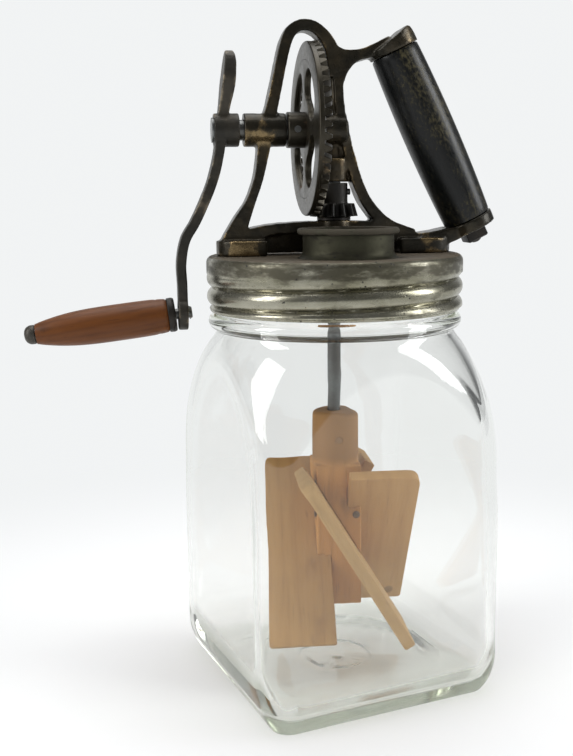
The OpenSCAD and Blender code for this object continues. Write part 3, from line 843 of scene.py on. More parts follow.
@dataclass(frozen=True)
class OldIron(Finish):
    """Iron with a dark skin, worn through on proud edges."""

    name: str
    skin: Colour
    brown: Colour
    worn: Colour
    rust: Colour
    wear: float = 0.6
    rusty: float = 0.62
    metal: float = 0.5
    shine: float = 0.46
    grain: float = 0.3
    edges: bool = True
    rubbed: tuple[tuple[float, float, float, float], ...] = ()
    rim: tuple[float, float] | None = None

    def shade(self, board: Board) -> Wire:
        """A dark skin with rust in patches, bare iron on edges and rubbed places, and bare iron on tooth tips
        that is partly a painted glint.

        Args:
            board: the material's node tree.
        Returns:
            The shader's wire.
        """
        p = board.where()
        cloud = board.noise(p, 15.0, 5.0, 0.6)
        fine = board.noise(p, 1.5, 4.0, 0.6, 4.0)
        mid = board.noise(p, 4.5, 4.0, 0.6, 7.0)
        proud = board.kept("wear", "Fac") if self.edges else mid * 0.25 + 0.4
        patch = cloud.step(0.4, 0.62) - 0.5
        worn = proud * 0.7 + patch * 0.5 + (mid - 0.5) * 0.4
        for *centre, reach in self.rubbed:
            ends = {"Vector": p, "Vector_001": centre}
            off = board.node("ShaderNodeVectorMath", {"operation": "DISTANCE"}, ends)
            worn = worn + board.wire(off, "Value").step(reach * 0.3, reach, 0.45, 0.0)
        # Bare iron on a ring at the tooth tips: worn metal, and a painted glint on the teeth.
        if self.rim is not None:
            height, reach = self.rim
            _, y, z = board.parts(board.moved(p, (0.0, 0.0, -height)))
            worn = worn + ((y * y + z * z) ** 0.5).step(reach - 1.6, reach, 0.0, 0.34)
        worn = worn.step(self.wear, self.wear + 0.28)
        rusty = (mid * 0.55 + cloud * 0.45).step(self.rusty, self.rusty + 0.09)
        colour = board.mix(self.skin, self.brown, cloud.step(0.38, 0.66))
        colour = board.mix(colour, self.rust, rusty * 0.75)
        colour = board.mix(colour, self.worn, worn * (0.55 + fine * 0.5))
        made = board.node(
            "ShaderNodeBsdfPrincipled",
            None,
            {
                "Base Color": colour,
                "Metallic": self.metal + worn * 0.25 - rusty * 0.35,
                "Roughness": self.shine + (fine - 0.5) * 0.3 + rusty * 0.22 - worn * 0.08,
                "Normal": board.bump(fine * 0.6 + mid * 0.6, self.grain, 0.6),
            },
        )
        return board.wire(made)


@dataclass(frozen=True)
class Wood(Finish):
    """Wood with fibres along the piece's stored grain, bare, oiled or painted."""

    name: str
    pale: Colour
    dark: Colour
    stain: Colour
    ring: float = 5.0
    ring_depth: float = 0.5
    stained: float = 0.6
    polish: float = 0.55
    gloss: float = 0.4
    coat: float = 0.0
    knot: Colour | None = None
    chips: Colour | None = None
    palm_wear_and_sheen: tuple[float, float] = (0.0, 0.0)
    darker_above: float | None = None

    def shade(self, board: Board) -> Wire:
        """Year rings, fibres and pores, with stains, chips and a knot where there are any; chips leaned to
        one side are partly a painted sheen.

        Args:
            board: the material's node tree.
        Returns:
            The shader's wire.
        """
        p = board.kept("grain", "Vector")
        long = board.scaled(p, (1.0, 1.0, 0.07))
        warp = board.noise(board.scaled(p, (1.0, 1.0, 0.16)), 24.0, 2.0, 0.5)
        x, y, z = board.parts(p)
        across = (x + 0.35 * y + warp * 26.0) * (6.283 / self.ring)
        lines = board.node("ShaderNodeMath", {"operation": "SINE"}, {"Value": across})
        rings = (board.wire(lines) * 0.5 + 0.5) ** 1.6
        fibre = board.noise(long, 1.1, 4.0, 0.65, 2.0)
        pores = board.noise(board.scaled(p, (1.0, 1.0, 0.045)), 0.55, 2.0, 0.5, 6.0).step(0.6, 0.76)
        cloud = board.noise(board.scaled(p, (1.0, 1.0, 0.5)), 19.0, 4.0, 0.6, 8.0)
        tone = rings * self.ring_depth + (fibre - 0.5) * 0.9 + (cloud - 0.5) * 0.6
        colour = board.mix(self.pale, self.dark, tone.step(-0.1, 0.95))
        colour = board.mix(colour, self.stain, cloud.step(self.stained, self.stained + 0.2) * 0.75)
        colour = board.mix(colour, tuple(c * 0.45 for c in self.dark), pores * 0.55)
        # Above this height the wood turns towards the stain colour: darker towards the top.
        if self.darker_above is not None:
            darkening = z.step(self.darker_above - 4.0, self.darker_above + 3.0)
            colour = board.mix(colour, self.stain, darkening * 0.7)
        rough = self.polish + (fibre - 0.5) * 0.25 + pores * 0.1
        if self.chips is not None:
            speck = board.noise(board.scaled(p, (1.0, 1.0, 0.55)), 1.2, 5.0, 0.7, 12.0)
            # Chips of bare wood, pushed towards one side of the piece; on that side they are also a painted
            # sheen.
            bare = (speck + (cloud - 0.5) * 0.8 + x * self.palm_wear_and_sheen[0] + y * self.palm_wear_and_sheen[1]).step(0.58, 0.86)
            colour = board.mix(colour, self.chips, bare * 0.6)
            rough = rough + bare * 0.1 + (speck - 0.5) * 0.7
        if self.knot is not None:
            off = board.moved(p, tuple(-c for c in self.knot))
            u, _, w = board.parts(board.scaled(off, (1.0, 0.0, 0.8)))
            spread = (u * u + w * w) ** 0.5 + (fibre - 0.5) * 0.9
            colour = board.mix(colour, tuple(c * 0.4 for c in self.dark), spread.step(1.6, 2.9, 0.55, 0.0))
        made = board.node(
            "ShaderNodeBsdfPrincipled",
            None,
            {
                "Base Color": colour,
                "Roughness": rough,
                "Specular IOR Level": self.gloss,
                "Coat Weight": self.coat,
                "Coat Roughness": 0.28,
                "Normal": board.bump(fibre * 0.6 - pores * 0.5 + rings * 0.2, 0.14, 0.6),
            },
        )
        return board.wire(made)


@dataclass(frozen=True)
class Rubber(Finish):
    """Perished red rubber."""

    name: str
    base: Colour
    bloom: Colour

    def shade(self, board: Board) -> Wire:
        """Dull rubber with a pale bloom.

        Args:
            board: the material's node tree.
        Returns:
            The shader's wire.
        """
        p = board.where()
        cloud = board.noise(p, 6.0, 5.0, 0.6)
        fine = board.noise(p, 0.8, 3.0, 0.6, 2.0)
        made = board.node(
            "ShaderNodeBsdfPrincipled",
            None,
            {
                "Base Color": board.mix(self.base, self.bloom, cloud.step(0.45, 0.75)),
                "Roughness": 0.6 + fine * 0.25,
                "Normal": board.bump(fine, 0.1, 0.5),
            },
        )
        return board.wire(made)


GLASS = ClearGlass("clear glass", (0.998, 1.0, 0.998), (0.62, 0.65, 0.55), 19.0)
CAP_TIN = TarnishedTin(
    "cap tin",
    paint(168, 165, 150),
    paint(128, 125, 106),
    paint(62, 58, 45),
    paint(88, 68, 47),
    paint(78, 68, 52),
    stain_above=195.0,
    dust_above=201.9,
    shine=0.26,
)
COLLAR_TIN = TarnishedTin(
    "collar tin",
    paint(72, 71, 58),
    paint(52, 50, 40),
    paint(36, 33, 26),
    paint(60, 53, 41),
    paint(84, 70, 53),
    rust_above=212.8,
    shine=0.56,
)
STRAINER_TIN = TarnishedTin(
    "strainer tin",
    paint(96, 92, 80),
    paint(74, 70, 58),
    paint(44, 40, 32),
    paint(70, 52, 35),
    paint(80, 68, 51),
    shine=0.42,
)
CAST_IRON = OldIron(
    "cast iron",
    paint(37, 34, 26),
    paint(64, 56, 41),
    paint(142, 122, 88),
    paint(84, 64, 40),
    wear=0.6,
    rusty=0.6,
    metal=0.6,
    shine=0.32,
    rubbed=((-44.0, -12.0, 205.0, 11.0), (-32.0, -8.0, 257.0, 10.0), (44.0, -12.0, 207.0, 15.0)),
)
CRANK_IRON = OldIron(
    "crank iron",
    paint(44, 42, 37),
    paint(66, 61, 52),
    paint(148, 136, 116),
    paint(82, 63, 44),
    wear=0.6,
    grain=0.22,
)
GEAR_IRON = OldIron(
    "gear iron",
    paint(64, 60, 51),
    paint(50, 45, 35),
    paint(134, 118, 92),
    paint(88, 68, 45),
    wear=0.62,
    rusty=0.585,
    metal=0.75,
    shine=0.34,
    grain=0.2,
    edges=False,
    # Brighter tooth tips: wear, and a painted glint.
    rim=(257.66, 39.6),
)
PINION_IRON = OldIron(
    "pinion iron",
    paint(30, 29, 26),
    paint(42, 38, 32),
    paint(112, 104, 90),
    paint(62, 47, 33),
    wear=0.66,
    grain=0.15,
)
DARK_IRON = OldIron(
    "dark iron",
    paint(32, 30, 28),
    paint(48, 43, 37),
    paint(98, 89, 76),
    paint(66, 49, 35),
    wear=0.7,
    grain=0.12,
    edges=False,
)
TIP_IRON = replace(
    DARK_IRON,
    name="tip iron",
    skin=paint(72, 69, 63),
    brown=paint(60, 54, 46),
    worn=paint(134, 127, 114),
    wear=0.52,
)
STEEL = OldIron(
    "bare steel",
    paint(120, 122, 121),
    paint(100, 99, 96),
    paint(148, 148, 144),
    paint(76, 60, 45),
    wear=0.62,
    rusty=0.66,
    metal=0.85,
    shine=0.34,
    grain=0.06,
    edges=False,
)
SUNK_STEEL = replace(
    STEEL,
    name="sunk steel",
    skin=paint(112, 90, 66),
    brown=paint(96, 76, 54),
    worn=paint(124, 102, 78),
    metal=0.3,
    shine=0.5,
)
STAINED_PIN = replace(
    SUNK_STEEL,
    name="stained pin",
    skin=paint(146, 110, 69),
    brown=paint(128, 96, 60),
    worn=paint(158, 122, 80),
    metal=0.0,
    shine=0.62,
)
BLACK_WOOD = Wood(
    "black wood",
    paint(9, 11, 11),
    paint(5, 6, 6),
    paint(7, 7, 6),
    ring_depth=0.3,
    stained=0.7,
    polish=0.36,
    gloss=0.24,
    coat=0.22,
    chips=paint(92, 84, 54),
    # More chips on the handle's right front: worn paint, and a painted sheen where the light falls.
    palm_wear_and_sheen=(-0.009, -0.010),
)
RED_WOOD = Wood(
    "red wood",
    paint(104, 58, 19),
    paint(72, 37, 10),
    paint(46, 25, 10),
    ring=4.0,
    ring_depth=0.24,
    stained=0.53,
    polish=0.46,
    gloss=0.28,
    coat=0.05,
)
PALE_WOOD = Wood(
    "pale wood",
    paint(186, 144, 90),
    paint(162, 121, 71),
    paint(146, 107, 63),
    ring=6.5,
    ring_depth=0.26,
    polish=0.66,
)
POST_WOOD = replace(
    PALE_WOOD,
    name="post wood",
    pale=paint(194, 140, 76),
    dark=paint(166, 118, 61),
    stain=paint(128, 94, 55),
    # The post is darker above this height.
    darker_above=106.0,
)
CLEAN_WOOD = replace(PALE_WOOD, name="clean wood", pale=paint(190, 153, 101), dark=paint(169, 131, 82))
KNOT_WOOD = replace(
    PALE_WOOD,
    name="knotty wood",
    pale=paint(196, 152, 96),
    dark=paint(172, 129, 77),
    knot=(30.0, 0.0, -38.0),
)
RUBBER = Rubber("old rubber", paint(86, 70, 60), paint(112, 98, 86))


def fit(obj: bpy.types.Object, finish: Finish, body: Body, slot: Slot, *nodes: str) -> None:
    """Gives a piece its finish and its place on the churn.

    Args:
        obj: the finished piece, at the origin.
        finish: its finish.
        body: the body that it moves with.
        slot: a material slot; not used.
        nodes: the CAD nodes that it stands for.
    """
    obj.data.materials.clear()
    obj.data.materials.append(finish.material())
    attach(obj, body.value)
    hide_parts(*nodes)
    obj.data.calc_loop_triangles()
    log.info("%s: %d triangles for %s", obj.name, len(obj.data.loop_triangles), ", ".join(nodes))


def dress_node(node: str, finish: Finish) -> None:
    """Puts a finish on a CAD node that is shown as it is.

    Args:
        node: the node's name.
        finish: its finish.
    """
    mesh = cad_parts[node].data
    if not mesh.materials:
        mesh.materials.append(finish.material())
    for i in range(len(mesh.materials)):
        mesh.materials[i] = finish.material()
    log.info("%s: CAD node in %s", node, finish.name)


class Copies:
    """A Geometry Nodes tree that sets one piece on every point of a template."""

    def __init__(self) -> None:
        """Builds the tree and its named inputs."""
        tree = bpy.data.node_groups.new("copies on points", "GeometryNodeTree")
        self.tree = tree
        face = tree.interface
        face.new_socket("Geometry", in_out="INPUT", socket_type="NodeSocketGeometry")
        kinds = (
            ("Piece", "NodeSocketObject"),
            ("Material", "NodeSocketMaterial"),
            ("Uneven", "NodeSocketFloat"),
            ("Seed", "NodeSocketInt"),
        )
        self.keys = {n: face.new_socket(n, in_out="INPUT", socket_type=k).identifier for n, k in kinds}
        face.new_socket("Geometry", in_out="OUTPUT", socket_type="NodeSocketGeometry")
        board = Board(tree)
        start = board.node("NodeGroupInput")
        turn = board.node("GeometryNodeInputNamedAttribute", {"data_type": "FLOAT_VECTOR"}, {"Name": "turn"})
        euler = board.node("FunctionNodeEulerToRotation", None, {"Euler": board.wire(turn)})
        piece = board.node("GeometryNodeObjectInfo", None, {"Object": board.wire(start, "Piece")})
        spread = board.wire(start, "Uneven")
        random = board.node(
            "FunctionNodeRandomValue",
            {"data_type": "FLOAT"},
            {"Min_001": 1.0 - spread, "Max_001": 1.0, "Seed": board.wire(start, "Seed")},
        )
        copies = board.node(
            "GeometryNodeInstanceOnPoints",
            None,
            {
                "Points": board.wire(start, "Geometry"),
                "Instance": board.wire(piece, "Geometry"),
                "Rotation": board.wire(euler),
                "Scale": board.wire(random, "Value_001"),
            },
        )
        solid = board.node("GeometryNodeRealizeInstances", None, {"Geometry": board.wire(copies)})
        painted = board.node(
            "GeometryNodeSetMaterial",
            None,
            {"Geometry": board.wire(solid), "Material": board.wire(start, "Material")},
        )
        board.node("NodeGroupOutput", None, {"Geometry": board.wire(painted)})

    def lay(
        self,
        name: str,
        piece: bpy.types.Object,
        points: np.ndarray,
        turns: np.ndarray,
        finish: Finish,
        uneven: float,
        seed: int,
    ) -> bpy.types.Object:
        """Sets the copies and makes them one plain mesh.

        Args:
            name: the finished piece's name.
            piece: what is copied; it is removed afterwards.
            points: where the copies go, in millimetres.
            turns: how each is turned, as Euler angles.
            finish: the finish they carry.
            uneven: the largest part by which a copy is smaller than the piece.
            seed: the random seed.
        Returns:
            The copies as one object.
        """
        mesh = bpy.data.meshes.new(name + " points")
        mesh.from_pydata((np.asarray(points) * MM).tolist(), [], [])
        template = bpy.data.objects.new(name + " points", mesh)
        bpy.context.scene.collection.objects.link(template)
        store(template, "turn", np.asarray(turns, float))
        work = template.modifiers.new("copies", "NODES")
        work.node_group = self.tree
        given = {"Piece": piece, "Material": finish.material(), "Uneven": uneven, "Seed": seed}
        for key, value in given.items():
            work[self.keys[key]] = value
        done = settle(template)
        template.modifiers.remove(work)
        bpy.data.objects.remove(template)
        bpy.data.objects.remove(piece)
        return as_piece(name, done, 40)


def islands(node: str) -> list[np.ndarray]:
    """Finds the separate solids of a CAD node.

    Args:
        node: the node's name.
    Returns:
        The points of each solid, in millimetres.
    """
    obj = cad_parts[node]
    work = bmesh.new()
    work.from_mesh(obj.data)
    bmesh.ops.remove_doubles(work, verts=work.verts, dist=2e-6)
    work.verts.ensure_lookup_table()
    seen: set[int] = set()
    found: list[np.ndarray] = []
    for first in work.verts:
        if first.index in seen:
            continue
        group, todo = [], [first]
        seen.add(first.index)
        while todo:
            here = todo.pop()
            group.append(tuple(here.co))
            for edge in here.link_edges:
                other = edge.other_vert(here)
                if other.index not in seen:
                    seen.add(other.index)
                    todo.append(other)
        found.append(np.array(group) / MM)
    work.free()
    return found


# The jar


@dataclass
class GlassJar:
    """The square jar: walls, round shoulders, bead, neck with its thread and a thick floor."""

    side: float = 120.0
    corner: float = 17.0
    wall: float = 4.0
    floor: float = 7.0
    height: float = 199.8
    turn: float = 14.5
    neck: float = 54.8
    mouth: float = 51.2
    shoulder_from: float = 104.8
    shoulder_to: float = 166.8
    heel: float = 24.0
    draw_in: float = 7.0
    foot_corner: float = 8.0
    hollow_corner: float = 14.3
    bead_z: float = 172.66
    bead_r: float = 3.5
    pitch: float = 8.3
    crest: float = 0.65
    segments: int = 288

    def square(self, angle: np.ndarray, half: float, corner: float) -> np.ndarray:
        """A square with rounded corners.

        Args:
            angle: angles in the jar's own square.
            half: half its side.
            corner: its corner radius.
        Returns:
            One radius for each angle.
        """
        u = np.maximum(abs(np.cos(angle)), abs(np.sin(angle)))
        v = np.minimum(abs(np.cos(angle)), abs(np.sin(angle)))
        inset = half - corner
        along = inset * (u + v)
        arc = along + np.sqrt(np.maximum(along**2 - 2 * inset**2 + corner**2, 0))
        return np.where(half * v / u <= inset, half / u, arc)

    def swept(self, z: float, reach: float, neck: float, start: float) -> float:
        """The round shoulder at a height, with room to spare below it.

        Args:
            z: height.
            reach: the radius at the shoulder's foot.
            neck: the radius at its top.
            start: the height of its foot.
        Returns:
            The radius.
        """
        t = (z - start) / (self.shoulder_to - start)
        if t <= 0:
            return reach + 0.012 * (start - z) ** 2
        near, last = (neck + (reach - neck) * (1 - min(t, k) ** 1.75) ** (1 / 1.15) for k in (0.96, 0.965))
        return last + max(t - 0.965, 0.0) * (last - near) / 0.005

    def wall_at(self, z: float, angle: np.ndarray, inside: bool) -> np.ndarray:
        """The radius of the jar at a height.

        Args:
            z: height.
            angle: angles in the jar's own square.
            inside: the inner wall instead of the outer one.
        Returns:
            One radius for each angle.
        """
        gap = self.wall if inside else 0.0
        half, corner = self.side / 2 - gap, self.corner - gap
        reach = (half - corner) * math.sqrt(2) + corner
        neck = self.mouth if inside else self.neck
        start = self.shoulder_from - (2.0 if inside else 0.0)
        rise = min(max((z - (self.floor if inside else 0.0)) / self.heel, 0.0), 1.0)
        body = self.square(
            angle,
            half - self.draw_in * (1 - rise) ** 2.6,
            corner + (self.foot_corner - self.corner) * (1 - rise) ** 1.5,
        )
        top = soft_max(np.array(self.swept(z, reach, neck, start)), np.array(neck), 1.2)
        body = soft_min(body, np.full_like(angle, float(top)), 5.0 if z < self.shoulder_to else 1e-3)
        if z > self.shoulder_to + 1:
            body = np.full_like(angle, float(top))
        return body

    def outside(self, z: float, angle: np.ndarray) -> np.ndarray:
        """The outer wall with the bead under the cap and the thread on the neck.

        Args:
            z: height.
            angle: angles in the jar's own square.
        Returns:
            One radius for each angle.
        """
        body = self.wall_at(z, angle, False)
        off = z - self.bead_z
        if abs(off) < self.bead_r * 1.6:
            bead = self.neck + math.sqrt(max(self.bead_r**2 - off**2, 0)) - max(abs(off) - self.bead_r, 0) * 2
            body = soft_max(body, np.full_like(angle, bead), 1.4)
        row = np.degrees(angle) + self.turn
        phase = (z - 186.0) / self.pitch - (row + 9 - 270) / 360
        away = (phase - np.round(phase)) * self.pitch
        fade = float(ease(179, 182, np.array(z)) * (1 - ease(193, 196, np.array(z))))
        return body + self.crest * fade * np.exp(-((away / 1.4) ** 2))

    def lining(self, heights: np.ndarray, angle: np.ndarray) -> np.ndarray:
        """The inner radius, at one thickness of glass behind the outer wall and a little wavy.

        Args:
            heights: the heights asked for.
            angle: angles in the jar's own square.
        Returns:
            A row of radii for each height.
        """
        z = np.linspace(20, self.height, 900)
        sharper = replace(self, corner=self.hollow_corner)
        outer = np.array([sharper.wall_at(float(v), angle, False) for v in z])
        smooth = np.ones(9) / 9
        outer[4:-4] = np.apply_along_axis(np.convolve, 0, outer, smooth, "valid")
        slope = np.gradient(outer, z, axis=0)
        gap = outer * (1 - self.mouth / self.neck) / np.sqrt(1 + slope**2)
        low, radius = z[:, None] + gap * slope, outer - gap
        high = np.stack([np.interp(heights, low[:, i], radius[:, i]) for i in range(len(angle))], 1)
        foot = np.array([self.wall_at(float(v), angle, True) - 0.1 for v in heights])
        row = heights[:, None]
        wave = 0.08 * np.sin(3 * angle + row / 17) * np.sin(row / 23 + 1)
        return foot + (high + wave - foot) * ease(28, 60, row)

    def build(self) -> bpy.types.Object:
        """Makes the jar as one closed skin from the base, over the rim and down to the inner floor.

        Returns:
            The jar.
        """
        angle = np.linspace(0, 2 * math.pi, self.segments, endpoint=False)
        row = angle + math.radians(self.turn)
        rings: list[np.ndarray] = []

        def ring(radius: np.ndarray, z: np.ndarray) -> None:
            """Adds a ring to the skin."""
            rings.append(np.stack([radius * np.cos(row), radius * np.sin(row), z + 0 * radius], 1))

        edge = self.outside(0.0, angle) - 0.4
        for share in [0.02, 0.035, 0.05, 0.08, 0.15, 0.22, 0.24, 0.255, 0.27, 0.285, 0.3, 0.32, 0.45, 0.6]:
            radius = edge * share
            ring(radius, self.underside(radius))
        for share in np.linspace(0.7, 0.985, 11):
            ring(edge * share, self.underside(edge * share))
        low = 0.5 + (self.heel - 0.5) * np.linspace(0, 1, 24) ** 1.6
        up = np.concatenate(
            [
                low,
                np.linspace(low[-1] + 8, 96, 8),
                np.linspace(98, 168, 68),
                np.linspace(168.5, 177, 20),
                np.linspace(178, 197.6, 28),
            ]
        )
        for z in up:
            ring(self.outside(float(z), angle), np.array(z))
        for t in np.linspace(0.12, 0.88, 8):
            mid, half = (self.neck + self.mouth) / 2, (self.neck - self.mouth) / 2
            radius = mid + half * math.cos(math.pi * t)
            ring(np.full_like(angle, radius), np.array(self.height - 2.0 + 2.0 * math.sin(math.pi * t)))
        low = self.floor + 1.5 + (self.heel - 1.5) * np.linspace(0, 1, 24) ** 1.6
        down = np.concatenate(
            [np.linspace(197, 170, 8), np.linspace(168, 96, 66), np.linspace(92, low[-1] + 7, 8), low[::-1]]
        )
        for z, radius in zip(down, self.lining(down, angle)):
            ring(radius, np.array(z))
        edge = self.wall_at(self.floor, angle, True) - 1.2
        for share in [0.985, 0.94, 0.86, 0.74, 0.6, 0.45, 0.3, 0.18, 0.08]:
            radius = edge * share
            ring(radius, self.floor + 0.5 * (1 - ease(0, 46, radius)) + 0.12 * np.sin(2 * angle + radius / 8))
        blank = Blank()
        start = [0, 0, float(self.underside(np.array(0.0)))]
        blank.rings(np.array(rings), False, start, [0, 0, self.floor + 0.5])
        return blank.piece("GlassJar", 60)

    @staticmethod
    def underside(radius: np.ndarray) -> np.ndarray:
        """The base from below: pushed up in the middle, with the mould's ring and a nub."""
        lift = 1.5 * (1 - ease(38, 50, radius))
        return lift + 0.4 * np.exp(-(((radius - 15) / 1.8) ** 2)) - 0.5 * np.exp(-((radius / 2.6) ** 2))

    def dress(self) -> None:
        """Builds the jar and puts it in place."""
        fit(self.build(), GLASS, Body.JAR, Slot.GLASS, "glass_jar")


# The cap with the filler collar


@dataclass
class ScrewCap:
    """The tinned cap with a rolled thread, its filler collar, strainer and gasket."""

    top: float = 202.26
    foot: float = 177.26
    groove: float = 56.3
    bead: float = 2.4
    sheet: float = 0.6
    pitch: float = 8.3
    bead_z: float = 186.0
    edge: float = 3.0
    collar_y: float = -30.5
    collar_d: float = 39.2
    collar_wall: float = 0.8
    collar_low: float = 200.46
    collar_top: float = 215.06
    rim_d: float = 44.0
    rim_tube: float = 1.4
    shaft_hole: float = 4.6
    segments: int = 288

    def skirt(self, z: float, row: np.ndarray) -> np.ndarray:
        """The skirt's outside: a right-hand rolled thread between a plain band and a rolled foot.

        Args:
            z: height.
            row: angles round the cap.
        Returns:
            One radius for each angle.
        """
        phase = (z - self.bead_z) / self.pitch - (np.degrees(row) + 9 - 270) / 360
        away = (phase - np.round(phase)) * 2
        bump = np.clip(1 - abs(away) ** 2.2, 0, 1) ** 0.85
        plain = float(ease(192.6, 194.4, np.array(z)))
        foot = float(1 - ease(self.foot + 0.4, self.foot + 1.9, np.array(z)))
        bump = np.maximum(bump, plain)
        bump = bump * (1 - foot) + 0.42 * foot
        return self.groove + self.bead * bump

    def build_cap(self) -> bpy.types.Object:
        """Makes the cap from sheet: top plate with its two holes, rounded edge and threaded skirt.

        Returns:
            The cap.
        """
        row = np.linspace(0, 2 * math.pi, self.segments, endpoint=False)
        full = self.groove + self.bead
        rings: list[np.ndarray] = []

        def ring(radius: np.ndarray | float, z: float) -> None:
            """Adds a ring to the sheet."""
            radius = radius + 0 * row
            rings.append(np.stack([radius * np.cos(row), radius * np.sin(row), z + 0 * row], 1))

        for t in np.linspace(0, 1, 9):
            a = math.pi / 2 * t
            ring(full - self.edge * (1 - math.sin(a)), self.top - self.edge * (1 - math.cos(a)))
        for z in np.linspace(self.top - self.edge - 0.4, self.foot + 0.3, 66):
            ring(self.skirt(float(z), row), float(z))
        ring(self.skirt(self.foot, row) - 0.3, self.foot)
        for z in np.linspace(self.foot + 0.3, self.top - self.edge - 0.4, 66):
            ring(self.skirt(float(z), row) - self.sheet, float(z))
        for t in np.linspace(1, 0, 9):
            a, inner = math.pi / 2 * t, self.edge - self.sheet
            radius = full - self.sheet - inner * (1 - math.sin(a))
            ring(radius, self.top - self.sheet - inner * (1 - math.cos(a)))
        blank = Blank()
        blank.rings(np.array(rings))
        holes = []
        for x, y, r, count in ((0.0, self.collar_y, self.collar_d / 2, 96), (0.0, 0.0, self.shaft_hole, 48)):
            a = np.linspace(0, 2 * math.pi, count, endpoint=False)
            levels = ((0.25, 0.0), (0.0, -0.2), (0.0, -self.sheet))
            holes.append(
                [
                    np.stack([x + (r + g) * np.cos(a), y + (r + g) * np.sin(a), self.top + d + 0 * a], 1)
                    for g, d in levels
                ]
            )
        blank.plate([rings[0], rings[-1]], holes, rim=False)
        return blank.piece("ScrewCap", 50)

    def build_collar(self) -> bpy.types.Object:
        """Makes the collar: a tube soldered to the cap with its top edge rolled outwards.

        Returns:
            The collar.
        """
        r, low, high, top = self.collar_d / 2, self.collar_low, self.collar_top, self.top
        tube = self.rim_d / 2 - self.rim_tube
        bead = [
            (tube + self.rim_tube * math.cos(a), high - self.rim_tube + self.rim_tube * math.sin(a))
            for a in np.linspace(-2.5, 2.2, 16)
        ]
        inner = r - self.collar_wall
        profile = [(r - 0.05, low), (r - 0.05, top + 0.02), (r + 2.3, top + 0.02), (r + 1.5, top + 0.5)]
        profile += [(r + 0.6, top + 1.3), (r + 0.15, top + 2.4), (r, top + 4.0), (r, high - 4.4)]
        profile += bead + [(inner + 0.1, high - 0.5), (inner, high - 1.6), (inner, low)]
        blank = Blank()
        blank.lathe(profile, Matrix.Translation((0, self.collar_y, 0)), 128)
        return blank.piece("FillerCollar", 50)

    def dress(self) -> None:
        """Builds cap and collar and puts finishes on the strainer and the gasket."""
        fit(self.build_cap(), CAP_TIN, Body.HEAD, Slot.TIN, "screw_cap")
        fit(self.build_collar(), COLLAR_TIN, Body.HEAD, Slot.TIN, "filler_collar")
        dress_node("strainer_disc", STRAINER_TIN)
        dress_node("gasket", RUBBER)


# The frame with its carrying handle


@dataclass
class IronFrame:
    """The cast frame and the rivets that hold its feet."""

    axle_z: float = 257.66
    axle_d: float = 9.0
    shaft_d: float = 6.2
    cell: float = 0.62

    def build(self) -> bpy.types.Object:
        """Makes the softened casting with clear bores.

        Returns:
            The frame.
        """
        bores = [
            Bore((-45, 0, self.axle_z), (1, 0, 0), self.axle_d / 2 + 0.16, 60),
            Bore((0, 0, 200), (0, 0, 1), self.shaft_d / 2 + 0.16, 60),
        ]
        return Casting("cast_frame", self.cell, 5, bores, 0.16).build("CastFrame")

    def dress(self, copies: Copies) -> None:
        """Builds the frame and its rivets.

        Args:
            copies: the tree that sets the rivets.
        """
        fit(self.build(), CAST_IRON, Body.HEAD, Slot.CAST_IRON, "cast_frame")
        solids = islands("frame_rivets")
        low, high = solids[0][:, 2].min(), solids[0][:, 2].max()
        wide = np.linalg.norm(solids[0][:, :2] - solids[0][:, :2].mean(0), axis=1)
        shank = float(wide[(solids[0][:, 2] < high - 0.05) & (solids[0][:, 2] > low + 0.05)].min(initial=2.0))
        head = float(wide.max())
        top = solids[0][:, 2][wide > shank + 0.2]
        seat = float(top.min()) if len(top) else high - 1.4
        arc = np.linspace(0, math.pi / 2, 9)
        dome = [(head * math.cos(t), seat + (high - seat) * math.sin(t)) for t in arc]
        blank = Blank()
        profile = [(0.0, low), (shank - 0.1, low), (shank - 0.1, seat), *dome[:-1], (0.0, high)]
        blank.lathe(profile, Matrix.Identity(4), 32, closed=False)
        rivet = blank.piece("rivet", 45)
        centres = np.array([[*((s[:, :2].min(0) + s[:, :2].max(0)) / 2), 0.0] for s in solids])
        turns = np.array([[0, 0, 0.7 * i] for i in range(len(centres))])
        made = copies.lay("FrameRivets", rivet, centres, turns, DARK_IRON, 0.0, 3)
        fit(made, DARK_IRON, Body.HEAD, Slot.DARK_IRON, "frame_rivets")


